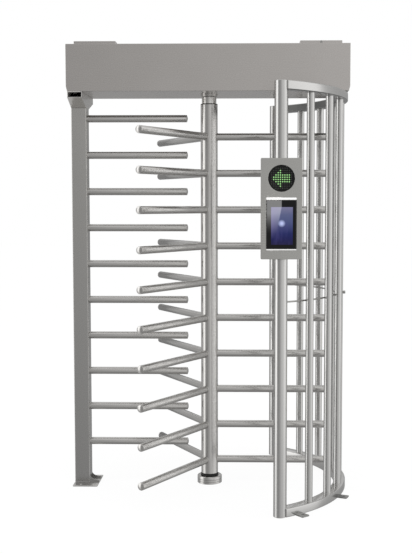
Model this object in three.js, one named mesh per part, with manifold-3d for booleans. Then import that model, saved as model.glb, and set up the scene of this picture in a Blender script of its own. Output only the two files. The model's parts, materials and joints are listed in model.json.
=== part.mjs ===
// A full height turnstile in stainless steel: a three winged rotor, a comb, a half round cage and a beam.
// Millimetres, +Z up. The origin is on the floor, on the axis of the rotor. The entry side faces -Y.
import * as THREE from "three";
import { mergeVertices } from "three/addons/utils/BufferGeometryUtils.js";
import Module from "manifold-3d";

const wasm = await Module();
wasm.setup();

// Fits and faces
const seatGap = 0.3; // between two pieces that are bolted, welded or seated together
const runGap = 1.2; // round what turns
const overrun = 5; // how far a cutting shape runs past the face that it cuts
const tubeSides = 12;
const boreSides = 8;
const tubeBoreSides = 6;
const roundSides = 18;
const columnSides = 16;
const hubSides = 6;
const fullTurn = 2 * Math.PI;

// The 38 mm tube that arms, comb bars and cage tubes are cut from
const tubeRadius = 19;
const tubeWall = 2;
const capCrown = 4; // rise of the closed tube end
const capFlatShare = 0.72; // radius of the flat of the crown
const tierCount = 10;
const tierPitch = 190;

// Rotor
const armReach = 622;
const wingCount = 3;
const columnRadius = 44.45;
const columnWall = 3;
const firstArmRise = 72; // column foot to the lowest arm
const lastArmDrop = 166; // highest arm to the column top
const hubHeight = 44;
const hubWall = 6;
const neckRadius = 38;
const neckHeight = 40;
const neckPlugDepth = 28;
const spindleRadius = 20;
const pivotPlugDepth = 18;
const pivotRadius = 20;

// Base cup
const cupRadius = 65;
const cupHeight = 40;
const cupFloor = 8;
const cupRound = 6;
const cupGroove = 1.6;
const cupGrooveShares = [0.3, 0.58]; // height of each groove
const sealRadius = 46.6;
const sealShow = 12; // height of the seal above the cup
const sealDepth = 12;

// Left post, its foot and head
const postWidth = 80;
const postWall = 4;
const combStandoff = 15; // arm tips to the post
const combTipGap = 67; // column to the comb tips
const footLength = 209;
const footForward = 114; // from the axis to the front edge of the foot
const footOverhang = 50;
const footPlate = 6;
const footHoleRadius = 7;
const footHoleInset = 24;
const gussetHeight = 34;
const gussetToe = 9;
const gussetPlate = 5;
const gussetBendShares = [0.5, 0.25]; // of the overhang and of the gusset height
const headFlange = 30;
const headTaper = 40;
const headSlotHeight = 26;
const headSlotSide = 3;
const headSlotDepth = 165;

// Cage
const cageClearance = 45; // arm tips to the cage tubes
const cageStep = 14.3; // degrees from tube to tube
const cageTubeCount = 7;
const cagePostAngle = 58.4;
const cagePostRadius = 31.75;
const cagePostWall = 3;
const cagePostVent = 4; // radius of the drain hole into the floor ring
const ringWidth = 58;
const ringOutset = 34; // tube circle to the outer face of the ring
const ringHeight = 42;
const ringWall = 3;
const ringSegments = 12;
const lugAngles = [21.45, 50.8];
const lugWidth = 47;
const lugReach = 45;
const lugPlate = 6;
const lugHoleRadius = 7;
const hoopRadius = 4;
const hoopHeight = 1021;
const hoopSteps = 15;
const knobRadius = 8;
const knobLength = 12;

// Head beam
const beamDepth = 356;
const beamHeight = 236;
const beamSheet = 3;
const beamCornerRun = 6; // the lower corners of the beam are drawn in
const beamCornerRise = 24;
const trayPlate = 4;
const hatchLength = 212;
const hatchInset = 40;
const hatchDepth = 330;
const hatchRise = 15;
const hatchRim = 22; // how far the hatch laps its opening
const bearingRadius = 44;
const bearingFlange = 12;
const bearingBossRadius = 34;
const bearingBossRise = 12;

// Mechanism on the tray
const lockWheelRadius = 75;
const lockWheelPlate = 10;
const lockWheelRise = 26; // tray to the wheel
const notchCount = 12;
const notchWidth = 18;
const notchDepth = 11;
const gearRise = 12; // lock wheel to the drive gear
const gearPlate = 12;
const gearBossRadius = 28;
const gearModule = 3.5;
const gearTeeth = 36;
const pinionTeeth = 12;
const gearBacklash = 0.7;
const addendumShare = 0.8;
const dedendumShare = 1.25;
const pressureAngle = 20;
const damperRadius = 32;
const damperHeight = 22;
const damperShaftRadius = 5;
const damperShaftDepth = 14;
const pawlArm = 72; // pivot to nose
const pawlTail = 40;
const pawlWidth = 16;
const pawlNose = 8;
const pawlNoseLength = 14;
const pawlClear = 3; // nose to wheel while the turnstile is free
const pawlPinRadius = 6;
const pawlHubRadius = 12;
const solenoidWidth = 34;
const solenoidLength = 42;
const solenoidHeight = 44;
const solenoidSet = 12; // solenoid to the pawl tail
const plungerRadius = 5;
const plungerDepth = 26;
const plungerCrown = 2.5;
const plungerTipShare = 0.4;
const controlBoxLength = 170;
const controlBoxDepth = 120;
const controlBoxHeight = 52;
const controlBoxSet = 132; // post to the box
const controlBoxEdge = 6;

// Access panel
const panelWidth = 190;
const panelHeight = 464;
const panelBodyDepth = 38;
const panelFront = 8;
const panelSide = 3;
const panelBase = 1229; // floor to the lower edge
const panelPlate = 3;
const panelCorner = 5;
const saddleWidth = 84;
const saddleHeight = 320;
const dialRadius = 61;
const dialDrop = 93; // panel top to the dial centre
const dialPlate = 5;
const dialSides = 18;
const glassWidth = 138;
const glassHeight = 224;
const glassRise = 48; // panel foot to the glass
const glassPlate = 6;
const barWidth = 138;
const barHeight = 10;
const barPlate = 5;
const barGap = 1.4; // glass to the light bar
const lipHeight = 9;
const lipGap = 1.6; // glass to the lip under it
const lipRise = 2.4;
const lipShoulder = 1.2;
const recessDepth = 6;

// Levels and places that follow from the sizes above
const columnFoot = cupHeight + sealShow + seatGap;
const lowestArm = columnFoot + firstArmRise;
const columnTop = lowestArm + tierPitch * (tierCount - 1) + lastArmDrop;
const beamUnderside = columnTop + neckHeight + bearingFlange;
const frameTop = beamUnderside - seatGap;
const trayTop = beamUnderside + trayPlate;
const beamTop = beamUnderside + beamHeight;
const postFaceX = -(armReach + combStandoff);
const postX = postFaceX - postWidth / 2;
const beamHalf = armReach + combStandoff + postWidth;
const cageRadius = armReach + cageClearance + tubeRadius;
const ringOuter = cageRadius + ringOutset;
const ringInner = ringOuter - ringWidth;
const columnBore = columnRadius - columnWall;
const insideColumn = columnBore * Math.cos(Math.PI / columnSides) - seatGap; // clears the bore's flats
const rad = THREE.MathUtils.degToRad;
const lockWheelFoot = trayTop + lockWheelRise;
const gearFoot = lockWheelFoot + lockWheelPlate + gearRise;
const spindleTop = gearFoot + gearPlate + seatGap;
const gearRadius = (gearModule * gearTeeth) / 2;
const pinionRadius = (gearModule * pinionTeeth) / 2;
const damperX = -(gearRadius + pinionRadius);
const frontPost = onCircle(cageRadius, -rad(cagePostAngle));
const panelBackY = frontPost.y - cagePostRadius - panelPlate - seatGap;
const panelFaceY = panelBackY - panelBodyDepth;
const panelTop = panelBase + panelHeight;

const steel = finish(0x9b9995, 0.34, 0.95);
const brightSteel = finish(0xc9c7c3, 0.26, 1);
const castSteel = finish(0x74726e, 0.5, 0.9);
const rubber = finish(0x161514, 0.75, 0);
const plastic = finish(0x2a2b2d, 0.55, 0);
const glass = finish(0x1a2050, 0.12, 0.1);
const lamp = finish(0xf5f4ee, 0.4, 0);

function finish(color, roughness, metalness) {
  return new THREE.MeshStandardMaterial({ color, roughness, metalness });
}

function onCircle(radius, angle) {
  return new THREE.Vector2(radius * Math.cos(angle), radius * Math.sin(angle));
}

// A three.js geometry as a closed solid that can be joined and cut
function solid(geometry) {
  const bare = geometry.clone();
  bare.deleteAttribute("normal");
  bare.deleteAttribute("uv");
  const merged = mergeVertices(bare);
  return new wasm.Manifold(
    new wasm.Mesh({
      numProp: 3,
      vertProperties: merged.attributes.position.array,
      triVerts: new Uint32Array(merged.index.array),
    }),
  );
}

function geometryOf(body) {
  const mesh = body.getMesh();
  const geometry = new THREE.BufferGeometry();
  geometry.setAttribute("position", new THREE.BufferAttribute(mesh.vertProperties, mesh.numProp));
  geometry.setIndex(new THREE.BufferAttribute(mesh.triVerts, 1));
  geometry.computeVertexNormals();
  return geometry;
}

// Solids in their plain places: a block between corners, a standing rod, a turned piece and a cut plate
function block(x0, x1, y0, y1, z0, z1) {
  const box = new THREE.BoxGeometry(x1 - x0, y1 - y0, z1 - z0);
  return solid(box.translate((x0 + x1) / 2, (y0 + y1) / 2, (z0 + z1) / 2));
}

function rod(radius, z0, z1, x = 0, y = 0, sides = roundSides) {
  const bar = new THREE.CylinderGeometry(radius, radius, z1 - z0, sides);
  return solid(bar.rotateX(Math.PI / 2).translate(x, y, (z0 + z1) / 2));
}

function turned(points, sides = roundSides) {
  const profile = points.map(([radius, height]) => new THREE.Vector2(radius, height));
  return solid(new THREE.LatheGeometry(profile, sides).rotateX(Math.PI / 2));
}

function plate(shape, z0, thickness) {
  return solid(
    new THREE.ExtrudeGeometry(shape, { depth: thickness, bevelEnabled: false }).translate(0, 0, z0),
  );
}

function outline(points) {
  return new THREE.Shape(points.map(([x, y]) => new THREE.Vector2(x, y)));
}

function placed(body, matrix) {
  return solid(geometryOf(body).applyMatrix4(matrix));
}

function turnedBy(body, angle) {
  return placed(body, new THREE.Matrix4().makeRotationZ(angle));
}

// Lays what stands along Z down along X
function laidAlongX(body, x, y, z) {
  const lay = new THREE.Matrix4().makeRotationY(Math.PI / 2);
  return placed(body, lay.setPosition(x, y, z));
}

// Sends the Z of a piece to -Y, so that a plate drawn in XZ faces the entry side
function facingEntry(body, y) {
  const face = new THREE.Matrix4().makeRotationX(Math.PI / 2);
  return placed(body, face.setPosition(0, y, 0));
}

// A rod from z = start to z = end with a crowned end, and the bore that makes it a closed tube
function crownedRod(start, end) {
  const profile = [
    [0, start],
    [tubeRadius, start],
    [tubeRadius, end - capCrown],
    [tubeRadius * capFlatShare, end],
    [0, end],
  ];
  return turned(profile, tubeSides);
}

function tubeBore(start, end) {
  return rod(tubeRadius - tubeWall, start, end - capCrown - tubeWall, 0, 0, tubeBoreSides);
}

function rotorColumn() {
  const bore = rod(columnBore, columnFoot - overrun, columnTop + overrun, 0, 0, columnSides);
  let tube = rod(columnRadius, columnFoot, columnTop, 0, 0, columnSides).subtract(bore);
  const hole = rod(tubeRadius + seatGap, 0, columnRadius + overrun, 0, 0, tubeSides);
  for (let tier = 0; tier < tierCount; tier++) {
    for (let wing = 0; wing < wingCount; wing++) {
      const lying = laidAlongX(hole, 0, 0, lowestArm + tier * tierPitch);
      tube = tube.subtract(turnedBy(lying, (wing * fullTurn) / wingCount));
    }
  }
  return tube;
}

// A six sided prism along Z, with a flat towards each arm
function hexagon(cornerRadius, height) {
  const prism = rod(cornerRadius, -height / 2, height / 2, 0, 0, hubSides);
  return turnedBy(prism, Math.PI / hubSides + Math.PI / 2);
}

// One tier: three arms that pass the column wall and are welded to a six sided hub inside it
function armTier() {
  const wall = insideColumn * Math.cos(Math.PI / hubSides);
  const wings = Array.from({ length: wingCount }, (_, wing) => (wing * fullTurn) / wingCount);
  const arm = laidAlongX(crownedRod(wall - hubWall / 2, armReach), 0, 0, 0);
  const bore = laidAlongX(tubeBore(0, armReach), 0, 0, 0);
  const hub = hexagon(insideColumn, hubHeight);
  const well = hexagon(insideColumn - hubWall / Math.cos(Math.PI / hubSides), hubHeight + 2 * overrun);
  const whole = wings.reduce((body, angle) => body.add(turnedBy(arm, angle)), hub);
  return wings.reduce((body, angle) => body.subtract(turnedBy(bore, angle)), whole.subtract(well));
}

function neckSpindle() {
  return turned([
    [0, columnTop - neckPlugDepth],
    [insideColumn, columnTop - neckPlugDepth],
    [insideColumn, columnTop],
    [neckRadius, columnTop],
    [neckRadius, columnTop + neckHeight - runGap],
    [spindleRadius, columnTop + neckHeight - runGap],
    [spindleRadius, spindleTop],
    [0, spindleTop],
  ]);
}

function pivotPlug() {
  return turned([
    [0, cupFloor + seatGap],
    [pivotRadius, cupFloor + seatGap],
    [pivotRadius, columnFoot],
    [insideColumn, columnFoot],
    [insideColumn, columnFoot + pivotPlugDepth],
    [0, columnFoot + pivotPlugDepth],
  ]);
}

function baseCup() {
  const well = sealRadius + seatGap;
  const grooves = cupGrooveShares.flatMap((share) => [
    [cupRadius, cupHeight * share - cupGroove],
    [cupRadius - cupGroove, cupHeight * share],
    [cupRadius, cupHeight * share + cupGroove],
  ]);
  return turned([
    [0, 0],
    [cupRadius, 0],
    ...grooves,
    [cupRadius, cupHeight - cupRound],
    [cupRadius - cupRound * (1 - Math.SQRT1_2), cupHeight - cupRound * (1 - Math.SQRT1_2)],
    [cupRadius - cupRound, cupHeight],
    [well, cupHeight],
    [well, cupFloor],
    [0, cupFloor],
  ]);
}

function baseSeal() {
  const foot = cupHeight - sealDepth;
  const hole = pivotRadius + runGap;
  const top = cupHeight + sealShow - runGap;
  return turned([
    [hole, foot],
    [sealRadius, foot],
    [sealRadius, top],
    [hole, top],
    [hole, foot],
  ]);
}

// The square post, welded to its foot plate, with two gussets towards the passage
function leftPost() {
  const half = postWidth / 2;
  const inner = half - postWall;
  const top = frameTop - headFlange - headTaper - seatGap;
  const tube = block(postX - half, postX + half, -half, half, 0, top).subtract(
    block(postX - inner, postX + inner, -inner, inner, footPlate, top + overrun),
  );
  const edge = postFaceX + footOverhang;
  let foot = block(postX - half, edge, -footForward, footLength - footForward, 0, footPlate);
  const holeX = [postX, edge - footHoleInset];
  for (const x of holeX) {
    for (const y of [-footForward + footHoleInset, footLength - footForward - footHoleInset]) {
      foot = foot.subtract(rod(footHoleRadius, -overrun, footPlate + overrun, x, y, boreSides));
    }
  }
  const [bendX, bendZ] = gussetBendShares;
  const side = outline([
    [postFaceX - postWall / 2, footPlate / 2],
    [edge, footPlate / 2],
    [edge, footPlate + gussetToe],
    [postFaceX + footOverhang * bendX, footPlate + gussetToe + gussetHeight * bendZ],
    [postFaceX, footPlate + gussetHeight],
    [postFaceX - postWall / 2, footPlate + gussetHeight],
  ]);
  const gusset = plate(side, 0, gussetPlate);
  const front = facingEntry(gusset, -half + gussetPlate);
  const rear = facingEntry(gusset, half);
  let post = tube.add(foot).add(front).add(rear);
  const socket = rod(tubeRadius + seatGap, -postWall - overrun, overrun, 0, 0, tubeSides);
  for (let bar = 0; bar < tierCount; bar++) {
    post = post.subtract(laidAlongX(socket, postFaceX, 0, combLevel(bar)));
  }
  return post;
}

// The head flares from the post to the full depth of the beam, and is open at both ends
function postHead() {
  const half = postWidth / 2;
  const deep = beamDepth / 2;
  const flangeFoot = frameTop - headFlange;
  const taperFoot = flangeFoot - headTaper;
  const side = outline([
    [-half, taperFoot],
    [half, taperFoot],
    [deep, flangeFoot],
    [deep, frameTop],
    [-deep, frameTop],
    [-deep, flangeFoot],
  ]);
  const turn = new THREE.Matrix4().makeBasis(
    new THREE.Vector3(0, 1, 0),
    new THREE.Vector3(0, 0, 1),
    new THREE.Vector3(1, 0, 0),
  );
  const body = placed(plate(side, postX - half, postWidth), turn);
  const left = postX - half;
  const drawn = outline([
    [left, taperFoot],
    [left + beamCornerRun, flangeFoot],
    [left + beamCornerRun, frameTop + overrun],
    [left - overrun, frameTop + overrun],
    [left - overrun, taperFoot],
  ]);
  const slotTop = frameTop - (headFlange - headSlotHeight);
  const slotFoot = slotTop - headSlotHeight + headSlotSide;
  const slotLeft = left + beamCornerRun + headSlotSide;
  const slot = (y0, y1) => block(slotLeft, postX + half - headSlotSide, y0, y1, slotFoot, slotTop);
  return body
    .subtract(facingEntry(plate(drawn, -deep - overrun, beamDepth + 2 * overrun), 0))
    .subtract(slot(-deep - overrun, -deep + headSlotDepth))
    .subtract(slot(deep - headSlotDepth, deep + overrun));
}

function combLevel(bar) {
  return lowestArm + tierPitch * (bar + 1 / 2);
}

function combBar(bar) {
  const start = postFaceX - postWall;
  const end = -(columnRadius + combTipGap);
  const length = end - start;
  const tube = crownedRod(0, length).subtract(tubeBore(-overrun, length));
  return laidAlongX(tube, start, 0, combLevel(bar));
}

// A band of the cage circle between two radii, long enough to be cut at the posts
function cageBand(inner, outer, reach, z0, z1) {
  const shape = new THREE.Shape();
  shape.absarc(0, 0, outer, -reach, reach, false);
  shape.absarc(0, 0, inner, reach, -reach, true);
  shape.closePath();
  const band = new THREE.ExtrudeGeometry(shape, {
    depth: z1 - z0,
    bevelEnabled: false,
    curveSegments: ringSegments,
  });
  return solid(band.translate(0, 0, z0));
}

function cageRing(z0) {
  const z1 = z0 + ringHeight;
  const reach = rad(cagePostAngle);
  const past = reach + overrun / cageRadius;
  const hollow = cageBand(ringInner + ringWall, ringOuter - ringWall, past, z0 + ringWall, z1 - ringWall);
  let ring = cageBand(ringInner, ringOuter, reach, z0, z1).subtract(hollow);
  for (const angle of [-reach, reach]) {
    const at = onCircle(cageRadius, angle);
    ring = ring.subtract(rod(cagePostRadius + seatGap, z0 - overrun, z1 + overrun, at.x, at.y));
  }
  return ring;
}

// The floor ring also carries four drilled lugs
function floorRing() {
  let ring = cageRing(0);
  const half = lugWidth / 2;
  const tip = ringOuter + lugReach;
  const middle = ringOuter + lugReach / 2;
  const hole = rod(lugHoleRadius, -overrun, lugPlate + overrun, middle, 0, boreSides);
  const lug = block(ringOuter - ringWall, tip, -half, half, 0, lugPlate).subtract(hole);
  for (const angle of lugAngles) {
    ring = ring.add(turnedBy(lug, rad(angle))).add(turnedBy(lug, -rad(angle)));
  }
  return ring;
}

// A closed tube that drains into the hollow of the floor ring
function cagePost(angle) {
  const at = onCircle(cageRadius, angle);
  const inside = cagePostRadius - cagePostWall;
  const bore = rod(inside, cagePostWall, frameTop - cagePostWall, at.x, at.y, tubeSides);
  const drill = rod(cagePostVent, 0, cagePostRadius + overrun, 0, 0, boreSides);
  const vent = laidAlongX(drill, 0, 0, ringHeight / 2);
  const inwards = turnedBy(vent, angle - (Math.sign(angle) * Math.PI) / 2);
  const drain = placed(inwards, new THREE.Matrix4().makeTranslation(at.x, at.y, 0));
  return rod(cagePostRadius, 0, frameTop, at.x, at.y).subtract(bore).subtract(drain);
}

function cageTube(index) {
  const angle = rad(cageStep) * (index - (cageTubeCount - 1) / 2);
  const at = onCircle(cageRadius, angle);
  const foot = ringHeight + seatGap;
  const top = frameTop - ringHeight - seatGap;
  const bore = rod(tubeRadius - tubeWall, foot - overrun, top + overrun, at.x, at.y, tubeBoreSides);
  const tube = rod(tubeRadius, foot, top, at.x, at.y, tubeSides).subtract(bore);
  const pin = rod(hoopRadius + seatGap, -cageRadius, cageRadius, 0, 0, boreSides);
  return angle ? tube : tube.subtract(laidAlongX(pin, cageRadius, 0, hoopHeight));
}

// The hoop bears on the inside of the tubes, and a knobbed pin through the middle tube holds it
function cageHoop() {
  const radius = cageRadius - tubeRadius - hoopRadius - seatGap;
  const reach = rad(cagePostAngle) - (cagePostRadius + seatGap) / cageRadius;
  const points = Array.from({ length: hoopSteps + 1 }, (_, step) => {
    const at = onCircle(radius, -reach + (2 * reach * step) / hoopSteps);
    return new THREE.Vector3(at.x, at.y, 0);
  });
  const section = outline(
    Array.from({ length: boreSides }, (_, side) => {
      const at = onCircle(hoopRadius, (side * fullTurn) / boreSides);
      return [at.x, at.y];
    }),
  );
  const wire = new THREE.ExtrudeGeometry(section, {
    steps: hoopSteps,
    extrudePath: new THREE.CatmullRomCurve3(points),
  });
  const pinEnd = cageRadius + tubeRadius + knobLength + seatGap;
  const pin = laidAlongX(rod(hoopRadius, 0, pinEnd - radius, 0, 0, boreSides), radius, 0, 0);
  const knob = laidAlongX(rod(knobRadius, 0, knobLength, 0, 0, tubeSides), pinEnd - knobLength, 0, 0);
  const lift = new THREE.Matrix4().makeTranslation(0, 0, hoopHeight);
  return placed(solid(wire).add(pin).add(knob), lift);
}

// The tray is the floor of the beam. The pawl pins stand on it
function beamTray() {
  const halfX = beamHalf - beamSheet - beamCornerRun - seatGap;
  const halfY = beamDepth / 2 - beamSheet - seatGap;
  let tray = block(-halfX, halfX, -halfY, halfY, beamUnderside, trayTop).subtract(
    rod(bearingBossRadius + seatGap, beamUnderside - overrun, trayTop + overrun),
  );
  for (const side of [-1, 1]) {
    const { x, y } = pawlPivot(side);
    const seat = lockWheelFoot - seatGap;
    const top = lockWheelFoot + lockWheelPlate + seatGap;
    tray = tray
      .add(rod(pawlHubRadius, beamUnderside + trayPlate / 2, seat, x, y, tubeSides))
      .add(rod(pawlPinRadius, trayTop, top, x, y, tubeSides));
  }
  return tray;
}

// The beam seen from the front, less a wall all round, with its lower corners drawn in
function beamSection(wall, foot) {
  const half = beamHalf - wall;
  const bend = beamUnderside + beamCornerRise;
  const drawn = half - (beamCornerRun * (bend - foot)) / beamCornerRise;
  return outline([
    [-drawn, foot],
    [drawn, foot],
    [half, bend],
    [half, beamTop - wall],
    [-half, beamTop - wall],
    [-half, bend],
  ]);
}

function beamCover() {
  const halfY = beamDepth / 2;
  const innerY = halfY - beamSheet;
  const shell = facingEntry(plate(beamSection(0, beamUnderside), -halfY, beamDepth), 0).subtract(
    facingEntry(plate(beamSection(beamSheet, beamUnderside - overrun), -innerY, 2 * innerY), 0),
  );
  const openX = hatchLength / 2 - hatchRim;
  const openY = hatchDepth / 2 - hatchRim;
  return [-1, 1].reduce(
    (body, side) =>
      body.subtract(
        block(
          side * hatchX() - openX,
          side * hatchX() + openX,
          -openY,
          openY,
          beamTop - beamSheet - overrun,
          beamTop + overrun,
        ),
      ),
    shell,
  );
}

function hatchX() {
  return beamHalf - hatchInset - hatchLength / 2;
}

function hatch(side) {
  const foot = beamTop + seatGap;
  const x = side * hatchX();
  const halfX = hatchLength / 2;
  const halfY = hatchDepth / 2;
  return block(x - halfX, x + halfX, -halfY, halfY, foot, foot + hatchRise).subtract(
    block(
      x - halfX + beamSheet,
      x + halfX - beamSheet,
      -halfY + beamSheet,
      halfY - beamSheet,
      foot - overrun,
      foot + hatchRise - beamSheet,
    ),
  );
}

function topBearing() {
  const bore = spindleRadius + runGap;
  const bossTop = trayTop + bearingBossRise;
  return turned([
    [bore, beamUnderside - bearingFlange],
    [bearingRadius, beamUnderside - bearingFlange],
    [bearingRadius, frameTop],
    [bearingBossRadius, frameTop],
    [bearingBossRadius, bossTop],
    [bore, bossTop],
    [bore, beamUnderside - bearingFlange],
  ]);
}

// Twelve notches let either pawl drop in at any thirty degrees of the rotor
function lockWheel() {
  const z1 = lockWheelFoot + lockWheelPlate;
  const bore = rod(spindleRadius + seatGap, lockWheelFoot - overrun, z1 + overrun);
  let wheel = rod(lockWheelRadius, lockWheelFoot, z1, 0, 0, notchCount * 2).subtract(bore);
  const notch = block(
    lockWheelRadius - notchDepth,
    lockWheelRadius + overrun,
    -notchWidth / 2,
    notchWidth / 2,
    lockWheelFoot - overrun,
    z1 + overrun,
  );
  for (let index = 0; index < notchCount; index++) {
    wheel = wheel.subtract(turnedBy(notch, (index * fullTurn) / notchCount));
  }
  return wheel;
}

// An involute spur gear, its first tooth centred on the angle phase
function spurGear(teeth, phase, z0, z1) {
  const pitch = (gearModule * teeth) / 2;
  const base = pitch * Math.cos(rad(pressureAngle));
  const tip = pitch + addendumShare * gearModule;
  const root = pitch - dedendumShare * gearModule;
  const roll = (radius) => {
    const pressure = Math.acos(Math.min(1, base / radius));
    return Math.tan(pressure) - pressure;
  };
  const halfAtPitch = (Math.PI * gearModule - gearBacklash) / 4 / pitch;
  const halfAt = (radius) => halfAtPitch + roll(pitch) - roll(Math.max(radius, base));
  const flank = [root, pitch, tip];
  const points = [];
  for (let tooth = 0; tooth < teeth; tooth++) {
    const middle = phase + (tooth * fullTurn) / teeth;
    for (const radius of flank) points.push(onCircle(radius, middle - halfAt(radius)));
    for (const radius of flank.toReversed()) points.push(onCircle(radius, middle + halfAt(radius)));
  }
  return plate(new THREE.Shape(points), z0, z1 - z0);
}

function driveGear() {
  const top = gearFoot + gearPlate;
  const bore = rod(spindleRadius + seatGap, gearFoot - gearRise - overrun, top + overrun);
  const boss = rod(gearBossRadius, gearFoot - gearRise + seatGap, gearFoot + gearPlate / 2);
  return spurGear(gearTeeth, 0, gearFoot, top).add(boss).subtract(bore);
}

// The pinion turns on the damper's shaft, with a tooth gap towards the drive gear
function damperPinion() {
  const phase = fullTurn / pinionTeeth / 2;
  const wheel = spurGear(pinionTeeth, phase, gearFoot, gearFoot + gearPlate);
  const shaftFoot = trayTop + damperHeight - damperShaftDepth;
  const shaft = rod(damperShaftRadius, shaftFoot, gearFoot + gearPlate / 2, 0, 0, tubeSides);
  return placed(wheel.add(shaft), new THREE.Matrix4().makeTranslation(damperX, 0, 0));
}

function damperBody() {
  const foot = trayTop + seatGap;
  const top = trayTop + damperHeight;
  const can = rod(damperRadius, foot, top, damperX, 0);
  const well = rod(
    damperShaftRadius + seatGap,
    top - damperShaftDepth - seatGap,
    top + overrun,
    damperX,
    0,
    tubeSides,
  );
  return can.subtract(well);
}

// side -1 is the pawl towards the entry, side 1 the one towards the exit
function pawlPivot(side) {
  return new THREE.Vector2(pawlArm, side * (lockWheelRadius + pawlClear + pawlNoseLength));
}

function pawl(side) {
  const pivot = pawlPivot(side);
  const half = pawlWidth / 2;
  const nose = pawlNose / 2;
  const foot = lockWheelFoot;
  const top = lockWheelFoot + lockWheelPlate;
  const [tipX, tailX] = [pivot.x - pawlArm - nose, pivot.x + pawlTail];
  const arm = block(tipX, tailX, pivot.y - half, pivot.y + half, foot, top);
  const tip = side * (lockWheelRadius + pawlClear);
  const tooth = block(-nose, nose, Math.min(tip, pivot.y), Math.max(tip, pivot.y), foot, top);
  const hub = rod(pawlHubRadius, foot, top, pivot.x, pivot.y, tubeSides);
  const bore = rod(pawlPinRadius + seatGap, foot - overrun, top + overrun, pivot.x, pivot.y, tubeSides);
  return arm.add(tooth).add(hub).subtract(bore);
}

// Each lock solenoid stands inside its pawl tail and pushes it outwards
function tailFace(side) {
  const pivot = pawlPivot(side);
  return new THREE.Vector2(pivot.x + pawlTail - plungerRadius, pivot.y - (side * pawlWidth) / 2);
}

function lockSolenoid(side) {
  const tail = tailFace(side);
  const near = tail.y - side * solenoidSet;
  const far = near - side * solenoidLength;
  const half = solenoidWidth / 2;
  const can = block(
    tail.x - half,
    tail.x + half,
    Math.min(near, far),
    Math.max(near, far),
    trayTop + seatGap,
    trayTop + solenoidHeight,
  );
  const well = rod(plungerRadius + seatGap, 0, plungerDepth + seatGap + overrun, 0, 0, tubeSides);
  return can.subtract(alongPlunger(well, side, plungerDepth + seatGap));
}

// Lays what stands along Z on the line of a plunger, from its depth in the solenoid towards the tail
function alongPlunger(body, side, depth) {
  const tail = tailFace(side);
  const lay = new THREE.Matrix4().makeRotationX((-side * Math.PI) / 2);
  const y = tail.y - side * (solenoidSet + depth);
  return placed(body, lay.setPosition(tail.x, y, lockWheelFoot + lockWheelPlate / 2));
}

function plunger(side) {
  const length = plungerDepth + solenoidSet - seatGap;
  const profile = [
    [0, 0],
    [plungerRadius, 0],
    [plungerRadius, length - plungerCrown],
    [plungerRadius * plungerTipShare, length - plungerCrown / 4],
    [0, length],
  ];
  return alongPlunger(turned(profile, tubeSides), side, plungerDepth);
}

function controlBox() {
  const halfX = controlBoxLength / 2;
  const halfY = controlBoxDepth / 2;
  const foot = trayTop + seatGap;
  const top = trayTop + controlBoxHeight;
  const x = postFaceX + controlBoxSet + halfX;
  const lidX = halfX - controlBoxEdge;
  const lidY = halfY - controlBoxEdge;
  return block(x - halfX, x + halfX, -halfY, halfY, foot, top - controlBoxEdge).add(
    block(x - lidX, x + lidX, -lidY, lidY, foot, top),
  );
}

// A rectangle with round corners, drawn in XZ of the panel
function roundedRectangle(x0, x1, z0, z1, radius) {
  const shape = new THREE.Shape();
  shape.moveTo(x0 + radius, z0);
  shape.absarc(x1 - radius, z0 + radius, radius, -Math.PI / 2, 0, false);
  shape.absarc(x1 - radius, z1 - radius, radius, 0, Math.PI / 2, false);
  shape.absarc(x0 + radius, z1 - radius, radius, Math.PI / 2, Math.PI, false);
  shape.absarc(x0 + radius, z0 + radius, radius, Math.PI, Math.PI * 1.5, false);
  return shape;
}

// A panel plate between two depths: depth is measured inwards from the panel face
function panelPiece(x0, x1, z0, z1, near, far) {
  return block(x0, x1, panelFaceY + near, panelFaceY + far, z0, z1);
}

function dial(radius, near, far) {
  const disc = rod(radius, -far, -near, 0, 0, dialSides);
  const lay = new THREE.Matrix4().makeRotationX(Math.PI / 2);
  return placed(disc, lay.setPosition(frontPost.x, panelFaceY, panelTop - dialDrop));
}

function panelHousing() {
  const half = panelWidth / 2;
  const x0 = frontPost.x - half;
  const x1 = frontPost.x + half;
  const face = plateOnFace(roundedRectangle(x0, x1, panelBase, panelTop, panelCorner));
  const hollow = panelPiece(
    x0 + panelSide,
    x1 - panelSide,
    panelBase + panelSide,
    panelTop - panelSide,
    panelFront,
    panelBodyDepth + overrun,
  );
  return face
    .add(screenLip())
    .subtract(hollow)
    .subtract(dial(dialRadius + seatGap, -overrun, recessDepth))
    .subtract(glassBlock(seatGap, -overrun, recessDepth))
    .subtract(lightBarBlock(seatGap, -overrun, recessDepth));
}

// A lip with a sloped top stands out of the face under the glass
function screenLip() {
  const top = panelBase + glassRise - lipGap;
  const side = outline([
    [panelFaceY + panelSide, top - lipHeight],
    [panelFaceY + panelSide, top],
    [panelFaceY, top],
    [panelFaceY - lipRise, top - lipHeight + lipShoulder],
    [panelFaceY - lipRise, top - lipHeight],
  ]);
  const turn = new THREE.Matrix4().makeBasis(
    new THREE.Vector3(0, 1, 0),
    new THREE.Vector3(0, 0, 1),
    new THREE.Vector3(1, 0, 0),
  );
  return placed(plate(side, frontPost.x - glassWidth / 2, glassWidth), turn);
}

function plateOnFace(shape) {
  const body = new THREE.ExtrudeGeometry(shape, {
    depth: panelBodyDepth,
    bevelEnabled: false,
    curveSegments: boreSides / 2,
  });
  return solid(body.rotateX(Math.PI / 2).translate(0, panelBackY, 0));
}

function glassBlock(grow, near, far) {
  const half = glassWidth / 2 + grow;
  const z0 = panelBase + glassRise - grow;
  return panelPiece(frontPost.x - half, frontPost.x + half, z0, z0 + glassHeight + 2 * grow, near, far);
}

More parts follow.
